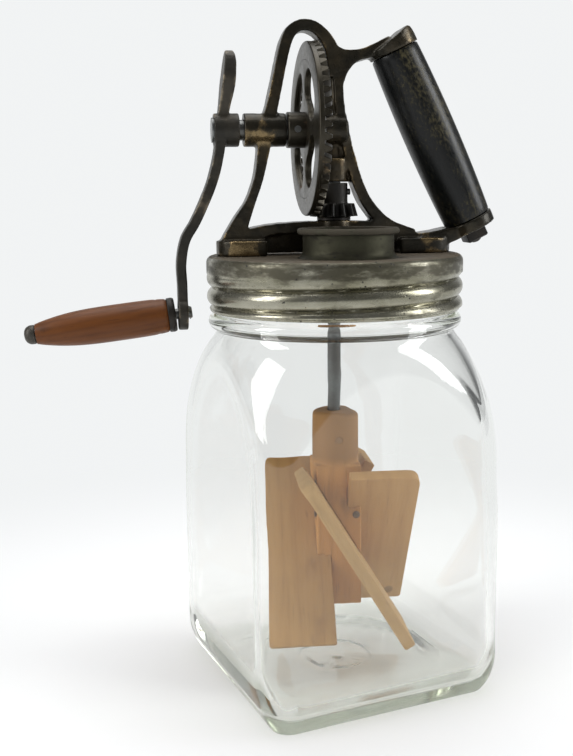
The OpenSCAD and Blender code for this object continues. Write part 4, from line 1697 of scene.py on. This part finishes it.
@dataclass
class CarryHandle:
    """The black turned grip between the frame's two arms, its long bolt and the square nut."""

    top: tuple[float, float, float] = (27.9, 0.0, 291.86)
    lean: float = 25.5
    length: float = 82.43
    mid_d: float = 24.2
    end_d: float = 21.9

    def place(self) -> Matrix:
        """The handle's axis, from its upper end downwards."""
        a = math.radians(self.lean)
        return axis_place(self.top, (math.sin(a), 0, -math.cos(a)))

    def along(self, node: str) -> np.ndarray:
        """A CAD node's points in the handle's own axes."""
        back = np.array(self.place().inverted())
        return places(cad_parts[node]) @ back[:3, :3].T + back[:3, 3]

    def build_grip(self) -> bpy.types.Object:
        """Makes the grip with a slight belly and eased ends.

        Returns:
            The grip with its grain stored.
        """
        own = self.along("handle_grip")
        low, high = float(own[:, 2].min()) + 0.02, float(own[:, 2].max()) - 0.02
        mid, end = self.mid_d / 2 - 0.03, self.end_d / 2 - 0.03
        side = []
        for t in np.linspace(0, 1, 33):
            belly = end + (mid - end) * math.sin(math.pi * t) ** 0.8
            side.append((belly, low + 0.9 + (high - low - 1.8) * t))
        hole = 3.35
        profile = [(hole, low), (end - 1.0, low), (end - 0.3, low + 0.25), *side]
        profile += [(end - 0.3, high - 0.25), (end - 1.0, high), (hole, high)]
        blank = Blank()
        blank.lathe(profile, self.place(), 96)
        made = blank.piece("HandleGrip", 45)
        store_grain(made, self.place())
        return made

    def build_bolt(self) -> bpy.types.Object:
        """Makes the bolt with its domed head and a threaded end.

        Returns:
            The bolt.
        """
        own = self.along("handle_bolt")
        wide = np.linalg.norm(own[:, :2], axis=1)
        low, high = float(own[:, 2].min()), float(own[:, 2].max())
        head = float(wide.max())
        shank = 2.95
        at_low = wide[own[:, 2] < low + 0.5].max() > shank + 0.5
        sign, start, stop = (1, low, high) if at_low else (-1, high, low)
        big = own[:, 2][wide > shank + 0.5]
        thick = float(big.max() - big.min()) if len(big) else 2.0
        profile: list[Point2] = [(0.0, start)]
        arc = np.linspace(0.2, math.pi / 2, 8)
        profile += [(head * math.sin(t), start + sign * thick * (1 - math.cos(t))) for t in arc]
        profile += [(shank, start + sign * thick)]
        length = abs(stop - start)
        for k in range(16):
            d = length - 9.0 + 0.55 * k
            profile.append((shank - (0.32 if k % 2 else 0.0), start + sign * d))
        profile += [(shank - 0.5, stop - sign * 0.2), (0.0, stop)]
        blank = Blank()
        blank.lathe(profile, self.place(), 40, closed=False)
        return blank.piece("HandleBolt", 40)

    def build_nut(self) -> bpy.types.Object:
        """Makes the square nut with its corners dressed off.

        Returns:
            The nut.
        """
        own = self.along("handle_nut")
        low, high = float(own[:, 2].min()), float(own[:, 2].max())
        back = np.array(self.place())
        half = np.abs(own[:, :2]).max(0)
        loops = []
        corners = [(x * half[0], y * half[1], 0.5) for x, y in ((-1, -1), (1, -1), (1, 1), (-1, 1))]
        square = np.array(rounded(corners, True, 3))
        for grow, z in ((-0.55, low), (0.0, low + 0.5), (0.0, high - 0.5), (-0.55, high)):
            flat = square * (1 + grow / half.mean())
            loops.append(np.column_stack([flat, np.full(len(flat), z)]) @ back[:3, :3].T + back[:3, 3])
        a = np.linspace(0, 2 * math.pi, 32, endpoint=False)
        hole = [
            np.column_stack([r * np.cos(a), r * np.sin(a), np.full(32, z)]) @ back[:3, :3].T + back[:3, 3]
            for r, z in ((3.5, low), (3.05, low + 0.4), (3.05, high - 0.4), (3.5, high))
        ]
        blank = Blank()
        blank.plate(loops, [hole])
        return blank.piece("HandleNut", 30)

    def dress(self) -> None:
        """Builds grip, bolt and nut."""
        fit(self.build_grip(), BLACK_WOOD, Body.HEAD, Slot.BLACK_WOOD, "handle_grip")
        fit(self.build_bolt(), DARK_IRON, Body.HEAD, Slot.DARK_IRON, "handle_bolt")
        fit(self.build_nut(), DARK_IRON, Body.HEAD, Slot.DARK_IRON, "handle_nut")


# The drive


@dataclass
class DriveGear:
    """The bevel gear on the axle: 48 teeth, a rim, four windows and a hub."""

    axle_z: float = 257.66
    axle_d: float = 9.0
    teeth: int = 48
    pitch_r: float = 38.4
    set_back: float = 9.6
    inner_k: float = 0.8484
    cone: float = 14.04
    tooth_up: float = 1.36
    tooth_down: float = 1.76
    tooth_half: float = 1.1566
    back: float = -13.56
    front: float = -10.56
    hub_d: float = 15.8
    hub_from: float = -21.6
    hub_to: float = -8.96
    window_in: float = 13.5
    window_out: float = 28.18
    spoke: float = 6.4

    def place(self) -> Matrix:
        """The gear's axes: its local Z is the axle."""
        return Matrix(((0, 0, 1, 0), (1, 0, 0, 0), (0, 1, 0, self.axle_z), (0, 0, 0, 1)))

    def build_tooth(self) -> bpy.types.Object:
        """Makes one tooth with eased edges, on the gear's local X axis.

        Returns:
            The tooth.
        """
        lean = math.radians(self.cone)
        up, low = self.tooth_up, -self.tooth_down - 0.35

        def width(p: float) -> float:
            """Half the tooth's width at a height above the pitch line."""
            return self.tooth_half - p * math.tan(math.radians(20))

        side = [(width(low), low), (width(-0.6), -0.6), (width(0.3), 0.3), (width(0.95) - 0.02, 0.95)]
        side += [(width(1.2) - 0.12, 1.2), (width(up) - 0.34, up)]
        outline = side + [(-x, y) for x, y in reversed(side)]
        rows = []
        steps = ((1.0, 0.3), (0.992, 0.07), (0.975, 0.0), (0.875, 0.0), (0.857, 0.07), (self.inner_k, 0.3))
        for k, sink in steps:
            ring = []
            for p0, p1 in outline:
                h = p1 - sink * (p1 - low) / (up - low)
                w = p0 * (1 - 0.25 * sink)
                out, along = self.pitch_r + h * math.sin(lean), -self.set_back + h * math.cos(lean)
                ring.append((k * out, k * w, k * along))
            rows.append(ring)
        blank = Blank()
        blank.rings(np.array(rows))
        count = len(outline)
        for base in (0, len(rows) - 1):
            blank.faces.append(tuple(range(base * count, (base + 1) * count)))
        return blank.piece("gear tooth", 35)

    def window(self, turn: float, grow: float, z: float) -> np.ndarray:
        """One kidney window's outline.

        Args:
            turn: the angle of its middle.
            grow: a margin round it.
            z: the height on the axle.
        Returns:
            The outline's points.
        """
        inner, outer = self.window_in - grow, self.window_out + grow
        mid, end = (self.window_in + self.window_out) / 2, (outer - inner) / 2
        own = (self.window_out - self.window_in) / 2
        half = math.pi / 4 - math.asin(own / mid) - math.asin(self.spoke / 2 / mid)
        points = [(outer * math.cos(a), outer * math.sin(a)) for a in np.linspace(-half, half, 14)]
        cap = np.array([math.cos(half), math.sin(half)])
        for a in np.linspace(0, math.pi, 16)[1:-1]:
            points.append(tuple(mid * cap + end * np.array([math.cos(half + a), math.sin(half + a)])))
        points += [(inner * math.cos(a), inner * math.sin(a)) for a in np.linspace(half, -half, 10)]
        cap = np.array([math.cos(half), -math.sin(half)])
        for a in np.linspace(math.pi, 2 * math.pi, 16)[1:-1]:
            points.append(tuple(mid * cap + end * np.array([math.cos(a - half), math.sin(a - half)])))
        c, s = math.cos(turn), math.sin(turn)
        return np.array([(c * x - s * y, s * x + c * y, z) for x, y in points])

    def build(self, copies: Copies) -> bpy.types.Object:
        """Makes rim, web and hub and joins the ring of teeth to them.

        Args:
            copies: the tree that sets the teeth.
        Returns:
            The whole gear as one piece.
        """
        place = self.place()
        lift, turn = np.array(place.translation), np.array(place.to_3x3())
        lean = math.radians(self.cone)
        root_r = self.pitch_r - self.tooth_down * math.sin(lean)
        root_z = -self.set_back - self.tooth_down * math.cos(lean)
        rim = rounded(
            [
                (29.6, self.back, 0.6),
                (root_r + 0.15, self.back, 0.9),
                (root_r + 0.05, root_z, 0.2),
                (self.inner_k * root_r, self.inner_k * root_z, 0.25),
                (self.inner_k * root_r - 0.5, self.front, 0.5),
                (29.6, self.front, 0.3),
            ],
            True,
        )
        bore = self.axle_d / 2 + 0.03
        hub = rounded(
            [
                (bore, self.hub_from, 0.3),
                (self.hub_d / 2, self.hub_from, 0.8),
                (self.hub_d / 2, self.hub_to, 0.8),
                (bore, self.hub_to, 0.3),
            ],
            True,
        )
        blank = Blank()
        blank.lathe(rim, place, 192)
        blank.lathe(hub, place, 72)
        levels = ((0.75, self.front), (0.22, self.front - 0.2), (0.0, self.front - 0.75))
        levels += ((0.0, self.back + 0.75), (0.22, self.back + 0.2), (0.75, self.back))
        a = np.linspace(0, 2 * math.pi, 144, endpoint=False)

        def circle(r: float, z: float) -> np.ndarray:
            """A circle round the axle."""
            return np.column_stack([r * np.cos(a), r * np.sin(a), np.full(len(a), z)]) @ turn.T + lift

        rims = [circle(30.4, z) for _, z in levels]
        holes = [[circle(self.hub_d / 2 - 0.6, z) for _, z in levels]]
        for q in range(4):
            angle = math.radians(45 + 90 * q)
            holes.append([self.window(angle, g, z) @ turn.T + lift for g, z in levels])
        blank.plate(rims, holes)
        wheel = blank.piece("gear wheel", 35)
        pitch = 2 * math.pi / self.teeth
        turns = np.array([(0.0, 0.0, i * pitch - math.pi / 2) for i in range(self.teeth)])
        centres = np.zeros((self.teeth, 3))
        ring = copies.lay("gear teeth", self.build_tooth(), centres, turns, GEAR_IRON, 0.004, 11)
        ring.data.transform(Matrix.Scale(MM, 4) @ place @ Matrix.Scale(1 / MM, 4))
        both = bmesh.new()
        both.from_mesh(wheel.data)
        both.from_mesh(ring.data)
        both.to_mesh(wheel.data)
        both.free()
        bpy.data.objects.remove(ring)
        wheel.data.materials.clear()
        wheel.data.set_sharp_from_angle(angle=math.radians(35))
        wheel.name = "DriveGear"
        return wheel

    def dress(self, copies: Copies) -> None:
        """Builds gear and pinion and puts finishes on the axle, the pins and the washer.

        Args:
            copies: the tree that sets the teeth.
        """
        fit(self.build(copies), GEAR_IRON, Body.DRIVE, Slot.GEAR_IRON, "drive_gear")
        bore = Bore((0, 0, 210), (0, 0, 1), 3.1 + 0.03, 60)
        pinion = Casting("pinion", 0.3, 2, [bore]).build("Pinion")
        fit(pinion, PINION_IRON, Body.DASHER, Slot.DARK_IRON, "pinion")
        for node, finish in (
            ("axle", STEEL),
            ("gear_pin", STEEL),
            ("pinion_pin", STEEL),
            ("thrust_washer", DARK_IRON),
        ):
            dress_node(node, finish)


@dataclass
class Crank:
    """The forged crank with its turned wooden grip, ferrule, spindle and tip."""

    eye: tuple[float, float, float] = (-70.0, 0.0, 176.86)
    droop: float = 6.5
    spindle_d: float = 4.8
    ferrule_from: float = 3.483
    ferrule_len: float = 3.4
    ferrule_r: float = 7.8
    grip_from: float = 6.883
    grip_len: float = 59.0
    grip_d: float = 16.6
    tip_from: float = 66.283
    tip_r: float = 4.3

    def place(self) -> Matrix:
        """The spindle's axis, outwards from the crank's eye."""
        a = math.radians(self.droop)
        return axis_place(self.eye, (-math.cos(a), 0, -math.sin(a)))

    def build_grip(self) -> bpy.types.Object:
        """Makes the turned grip with a scribed line near its wide end.

        Returns:
            The grip with its grain stored.
        """
        r = np.array([0.9, 0.955, 0.96, 0.985, 1.0, 0.95, 0.8, 0.62])
        t = np.array([0.012, 0.05, 0.1, 0.25, 0.45, 0.64, 0.84, 0.96])
        fine = np.linspace(0.012, 0.96, 56)
        bent = np.polyval(np.polyfit(t, r, 5), fine)
        radius = self.grip_d / 2 * np.minimum(bent, 1.0)
        radius -= 0.22 * np.exp(-(((fine - 0.085) / 0.008) ** 2))
        hole = self.spindle_d / 2 + 0.08
        start, stop = self.grip_from, self.grip_from + self.grip_len
        profile = [(hole, start + 0.03), (self.grip_d / 2 * 0.84, start + 0.03)]
        profile += [(float(a), start + self.grip_len * float(b)) for a, b in zip(radius, fine)]
        profile += [(self.tip_r + 0.35, stop - 0.6), (self.tip_r + 0.2, stop), (hole, stop)]
        blank = Blank()
        blank.lathe(profile, self.place(), 80)
        made = blank.piece("CrankGrip", 45)
        store_grain(made, self.place())
        return made

    def build_ferrule(self) -> bpy.types.Object:
        """Makes the iron ferrule behind the grip.

        Returns:
            The ferrule.
        """
        r, low, high = self.ferrule_r, self.ferrule_from, self.ferrule_from + self.ferrule_len
        hole = self.spindle_d / 2 + 0.08
        corners = [(hole, low, 0.2), (r - 0.4, low, 0.7), (r, low + 1.2, 0.5)]
        corners += [(r - 0.1, high, 0.5), (hole, high, 0.2)]
        blank = Blank()
        blank.lathe(rounded(corners, True), self.place(), 64)
        return blank.piece("GripFerrule", 40)

    def build_tip(self) -> bpy.types.Object:
        """Makes the riveted-over end of the spindle.

        Returns:
            The tip.
        """
        own = places(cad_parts["spindle_tip"])
        back = np.array(self.place().inverted())
        run = (own @ back[:3, :3].T + back[:3, 3])[:, 2]
        low, high = float(run.min()), float(run.max())
        r, base = self.tip_r, self.tip_from + 1.4
        arc = np.linspace(0, 1.5, 10)
        dome = [(r * math.cos(t) ** 0.8, base + (high - base) * math.sin(t)) for t in arc]
        stem = self.spindle_d / 2 - 0.1
        profile = [(0.0, low), (stem, low), (stem, self.tip_from), (r - 0.1, self.tip_from)]
        profile += [(r, self.tip_from + 0.15), *dome, (0.0, high)]
        blank = Blank()
        blank.lathe(profile, self.place(), 48, closed=False)
        return blank.piece("SpindleTip", 45)

    def dress(self) -> None:
        """Builds arm, grip, ferrule and tip and puts a finish on the spindle."""
        bores = [Bore((-56, 0, 257.66), (1, 0, 0), 4.53, 16)]
        arm = Casting("crank_arm", 0.42, 4, bores, 0.06).build("CrankArm")
        fit(arm, CRANK_IRON, Body.DRIVE, Slot.DARK_IRON, "crank_arm")
        fit(self.build_tip(), TIP_IRON, Body.DRIVE, Slot.DARK_IRON, "spindle_tip")
        fit(self.build_grip(), RED_WOOD, Body.GRIP, Slot.RED_WOOD, "crank_grip")
        fit(self.build_ferrule(), DARK_IRON, Body.GRIP, Slot.DARK_IRON, "grip_ferrule")
        dress_node("grip_spindle", STEEL)


# The dasher


@dataclass
class Dasher:
    """The wooden dasher: post, four pitched blades and their nails on the steel shaft."""

    turn: float = -4.0
    offset: float = 6.0
    mid_z: float = 63.0
    pitch: float = 31.0
    half: float = 45.0
    thick: float = 5.5
    corner_top: float = 6.0
    corner_low: float = 2.0

    def place(self, quarter: int) -> Matrix:
        """A blade's own axes: X outwards, Z along its height.

        Args:
            quarter: which quarter of the turn it stands in.
        Returns:
            The blade's place.
        """
        spin = Matrix.Rotation(math.radians(self.turn + 90 * quarter), 4, "Z")
        tilt = Matrix.Rotation(math.radians(self.pitch), 4, "X")
        return spin @ Matrix.Translation((0, self.offset, self.mid_z)) @ tilt

    def build_blade(self, name: str, node: str, quarter: int) -> bpy.types.Object:
        """Makes one blade as a board with eased edges.

        Args:
            name: the piece's name.
            node: its CAD node, which gives the inner end.
            quarter: which quarter of the turn it stands in.
        Returns:
            The board with its grain stored.
        """
        place = self.place(quarter)
        back = np.array(place.inverted())
        own = places(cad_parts[node]) @ back[:3, :3].T + back[:3, 3]
        low, high = own.min(0), own.max(0)
        gap = 0.03
        outline = rounded(
            [
                (low[0] + gap, -self.half + gap, 0.4),
                (high[0] - gap, -self.half + gap, self.corner_low),
                (high[0] - gap, self.half - gap, self.corner_top),
                (low[0] + gap, self.half - gap, 0.4),
            ],
            True,
            7,
        )
        flat = np.array(outline)
        centre = flat.mean(0)
        reach = np.abs(flat - centre).max(0)
        loops = []
        half = self.thick / 2 - gap
        forward = np.array(place)
        eased = ((0.75, half), (0.22, half - 0.18), (0.0, half - 0.75))
        eased += tuple((inset, -y) for inset, y in reversed(eased))
        for inset, y in eased:
            shrunk = centre + (flat - centre) * (1 - inset / reach)
            level = np.column_stack([shrunk[:, 0], np.full(len(flat), y), shrunk[:, 1]])
            loops.append(level @ forward[:3, :3].T + forward[:3, 3])
        blank = Blank()
        blank.plate(loops, [])
        made = blank.piece(name, 40)
        store_grain(made, place)
        return made

    def build_post(self) -> bpy.types.Object:
        """Makes the turned post.

        Returns:
            The post with its grain stored.
        """
        made = Casting("dasher_post", 0.5, 4).build("DasherPost")
        store_grain(made, Matrix.Translation((3.0, 11.0, 0)))
        return made

    def build_nails(self, copies: Copies) -> bpy.types.Object:
        """Makes the four nails with flat hammered heads.

        Args:
            copies: the tree that sets the nails.
        Returns:
            The nails as one piece.
        """
        points, turns = [], []
        length = 0.0
        for solid in islands("blade_nails"):
            rel = solid - solid.mean(0)
            axis = np.linalg.svd(rel, full_matrices=False)[2][0]
            run = rel @ axis
            ends = [solid[run < run.min() + 0.3].mean(0), solid[run > run.max() - 0.3].mean(0)]
            ends.sort(key=lambda e: float(np.hypot(e[0], e[1])))
            length = float(np.linalg.norm(ends[1] - ends[0]))
            points.append(ends[1])
            turns.append(Vector(ends[0] - ends[1]).to_track_quat("Z", "Y").to_euler())
        head, shank = 1.75, 0.88
        profile = [(0.0, -0.42), (head * 0.7, -0.36), (head, -0.1), (head, 0.05), (shank, 0.12)]
        profile += [(shank, length - 2), (0.0, length - 0.1)]
        blank = Blank()
        blank.lathe(profile, Matrix.Identity(4), 24, closed=False)
        nail = blank.piece("nail", 35)
        return copies.lay("BladeNails", nail, np.array(points), np.array(turns), DARK_IRON, 0.04, 5)

    def dress(self, copies: Copies) -> None:
        """Builds the wooden pieces and the nails and puts finishes on shaft and pin.

        Args:
            copies: the tree that sets the nails.
        """
        fit(self.build_post(), POST_WOOD, Body.DASHER, Slot.PALE_WOOD, "dasher_post")
        for quarter, side in enumerate(("right", "back", "left", "front")):
            board = self.build_blade("Blade" + side.title(), "blade_" + side, quarter)
            finish = {"right": KNOT_WOOD, "front": CLEAN_WOOD}.get(side, PALE_WOOD)
            fit(board, finish, Body.DASHER, Slot.PALE_WOOD, "blade_" + side)
        fit(self.build_nails(copies), SUNK_STEEL, Body.DASHER, Slot.DARK_IRON, "blade_nails")
        dress_node("dasher_shaft", STEEL)
        dress_node("dasher_pin", STAINED_PIN)


# The studio


@dataclass
class Lamp:
    """A soft lamp or window."""

    name: str
    place: tuple[float, float, float]
    aim: tuple[float, float, float]
    wide: float
    high: float
    power: float
    colour: Colour = (1.0, 1.0, 1.0)

    def hang(self) -> None:
        """Adds the lamp to the scene."""
        data = bpy.data.lights.new(self.name, "AREA")
        data.shape, data.size, data.size_y = "RECTANGLE", self.wide, self.high
        data.energy, data.color = self.power, self.colour
        made = bpy.data.objects.new(self.name, data)
        made.location = self.place
        made.rotation_euler = (Vector(self.aim) - Vector(self.place)).to_track_quat("-Z", "Y").to_euler()
        bpy.context.scene.collection.objects.link(made)


@dataclass
class Studio:
    """White table and backdrop, soft windows and the camera of the photo."""

    psi: float = 9.0
    pitch: float = 10.15
    roll: float = 0.70
    eye: tuple[float, float, float] = (-0.0959, -0.4616, 0.2287)
    lens: float = 48.44
    white: Colour = (0.885, 0.9, 0.905)
    lamps: list[Lamp] = field(
        default_factory=lambda: [
            Lamp("left window", (-0.93, -0.24, 0.62), (0, 0, 0.12), 0.36, 0.75, 6.0),
            Lamp("right window", (0.96, -0.3, 0.6), (0, 0, 0.14), 0.42, 0.7, 6.5, (0.97, 0.985, 1.0)),
            Lamp("top light", (0.0, 0.15, 1.15), (0, 0, 0.1), 0.9, 0.9, 7.5),
        ]
    )

    def set_camera(self) -> None:
        """Places the camera as it was fitted to the photo."""
        psi, p, a = (math.radians(v) for v in (self.psi, self.pitch, self.roll))
        look = Vector((math.sin(psi) * math.cos(p), math.cos(psi) * math.cos(p), -math.sin(p)))
        right = Vector((math.cos(psi), -math.sin(psi), 0))
        up = right.cross(look)
        x = right * math.cos(a) - up * math.sin(a)
        y = right * math.sin(a) + up * math.cos(a)
        data = bpy.data.cameras.new("camera")
        data.lens, data.sensor_fit, data.sensor_height = self.lens, "VERTICAL", 36.0
        data.clip_start, data.clip_end = 0.01, 50.0
        made = bpy.data.objects.new("camera", data)
        turn = Matrix((x, y, -look)).transposed().to_4x4()
        made.matrix_world = Matrix.Translation(Vector(self.eye)) @ turn
        bpy.context.scene.collection.objects.link(made)
        bpy.context.scene.camera = made

    @staticmethod
    def seen(board: Board, mirrored: Wire | float = 1.0) -> Wire:
        """1 for rays by which the eye sees the background, directly, mirrored or through glass, else 0.

        Args:
            board: the node tree that asks.
            mirrored: how much of the background there is for mirrors and glass.
        Returns:
            The wire of the answer.
        """
        path = board.node("ShaderNodeLightPath")
        bent = board.wire(path, "Is Glossy Ray") | board.wire(path, "Is Transmission Ray")
        return board.wire(path, "Is Camera Ray") | bent * mirrored

    def lay_floor(self) -> None:
        """Lays a wide table that keeps the shadow near the churn and turns into the backdrop further away."""
        mesh = bpy.data.meshes.new("table")
        r = 6.0
        mesh.from_pydata([(-r, -r, 0), (r, -r, 0), (r, r, 0), (-r, r, 0)], [], [(0, 1, 2, 3)])
        table = bpy.data.objects.new("Table", mesh)
        bpy.context.scene.collection.objects.link(table)
        made = bpy.data.materials.new("table")
        made.use_nodes = True
        made.node_tree.nodes.clear()
        board = Board(made.node_tree)
        x, y, _ = board.parts(board.where())
        away = (x * x + y * y) ** 0.5
        matt = board.node("ShaderNodeBsdfDiffuse", None, {"Color": (0.9, 0.9, 0.9, 1.0)})
        glow = board.node("ShaderNodeEmission", None, {"Color": (*self.white, 1.0), "Strength": 1.0})
        both = board.node(
            "ShaderNodeMixShader",
            None,
            {
                "Fac": away.step(90.0, 420.0) * self.seen(board),
                "Shader": board.wire(matt),
                "Shader_001": board.wire(glow),
            },
        )
        board.node("ShaderNodeOutputMaterial", None, {"Surface": board.wire(both)})
        mesh.materials.append(made)

    def light_world(self) -> None:
        """White behind the churn, also in mirrors and through the glass, and a softer room in front of it."""
        world = bpy.data.worlds.new("room")
        bpy.context.scene.world = world
        world.use_nodes = True
        world.node_tree.nodes.clear()
        board = Board(world.node_tree)
        _, ahead, _ = board.parts(board.wire(board.node("ShaderNodeTexCoord"), "Generated"))
        room = board.node("ShaderNodeBackground", None, {"Color": (0.96, 0.98, 1.0, 1.0), "Strength": 0.34})
        dim = board.node("ShaderNodeBackground", None, {"Color": (0.96, 0.98, 1.0, 1.0), "Strength": 0.14})
        front = board.node(
            "ShaderNodeMixShader",
            None,
            {"Fac": self.seen(board), "Shader": board.wire(room), "Shader_001": board.wire(dim)},
        )
        plain = board.node("ShaderNodeBackground", None, {"Color": (*self.white, 1.0), "Strength": 1.0})
        both = board.node(
            "ShaderNodeMixShader",
            None,
            {
                "Fac": self.seen(board, ahead.step(0.62, 0.9)),
                "Shader": board.wire(front),
                "Shader_001": board.wire(plain),
            },
        )
        board.node("ShaderNodeOutputWorld", None, {"Surface": board.wire(both)})

    def build(self) -> None:
        """Sets up camera, floor, room and lamps."""
        bpy.context.scene.view_settings.view_transform = "Standard"
        self.set_camera()
        self.lay_floor()
        self.light_world()
        for lamp in self.lamps:
            lamp.hang()


def main() -> None:
    logging.basicConfig(level=logging.INFO, format="%(name)s %(message)s")
    copies = Copies()
    GlassJar().dress()
    ScrewCap().dress()
    IronFrame().dress(copies)
    CarryHandle().dress()
    DriveGear().dress(copies)
    Crank().dress()
    Dasher().dress(copies)
    Studio().build()


if __name__ == "__main__":
    main()
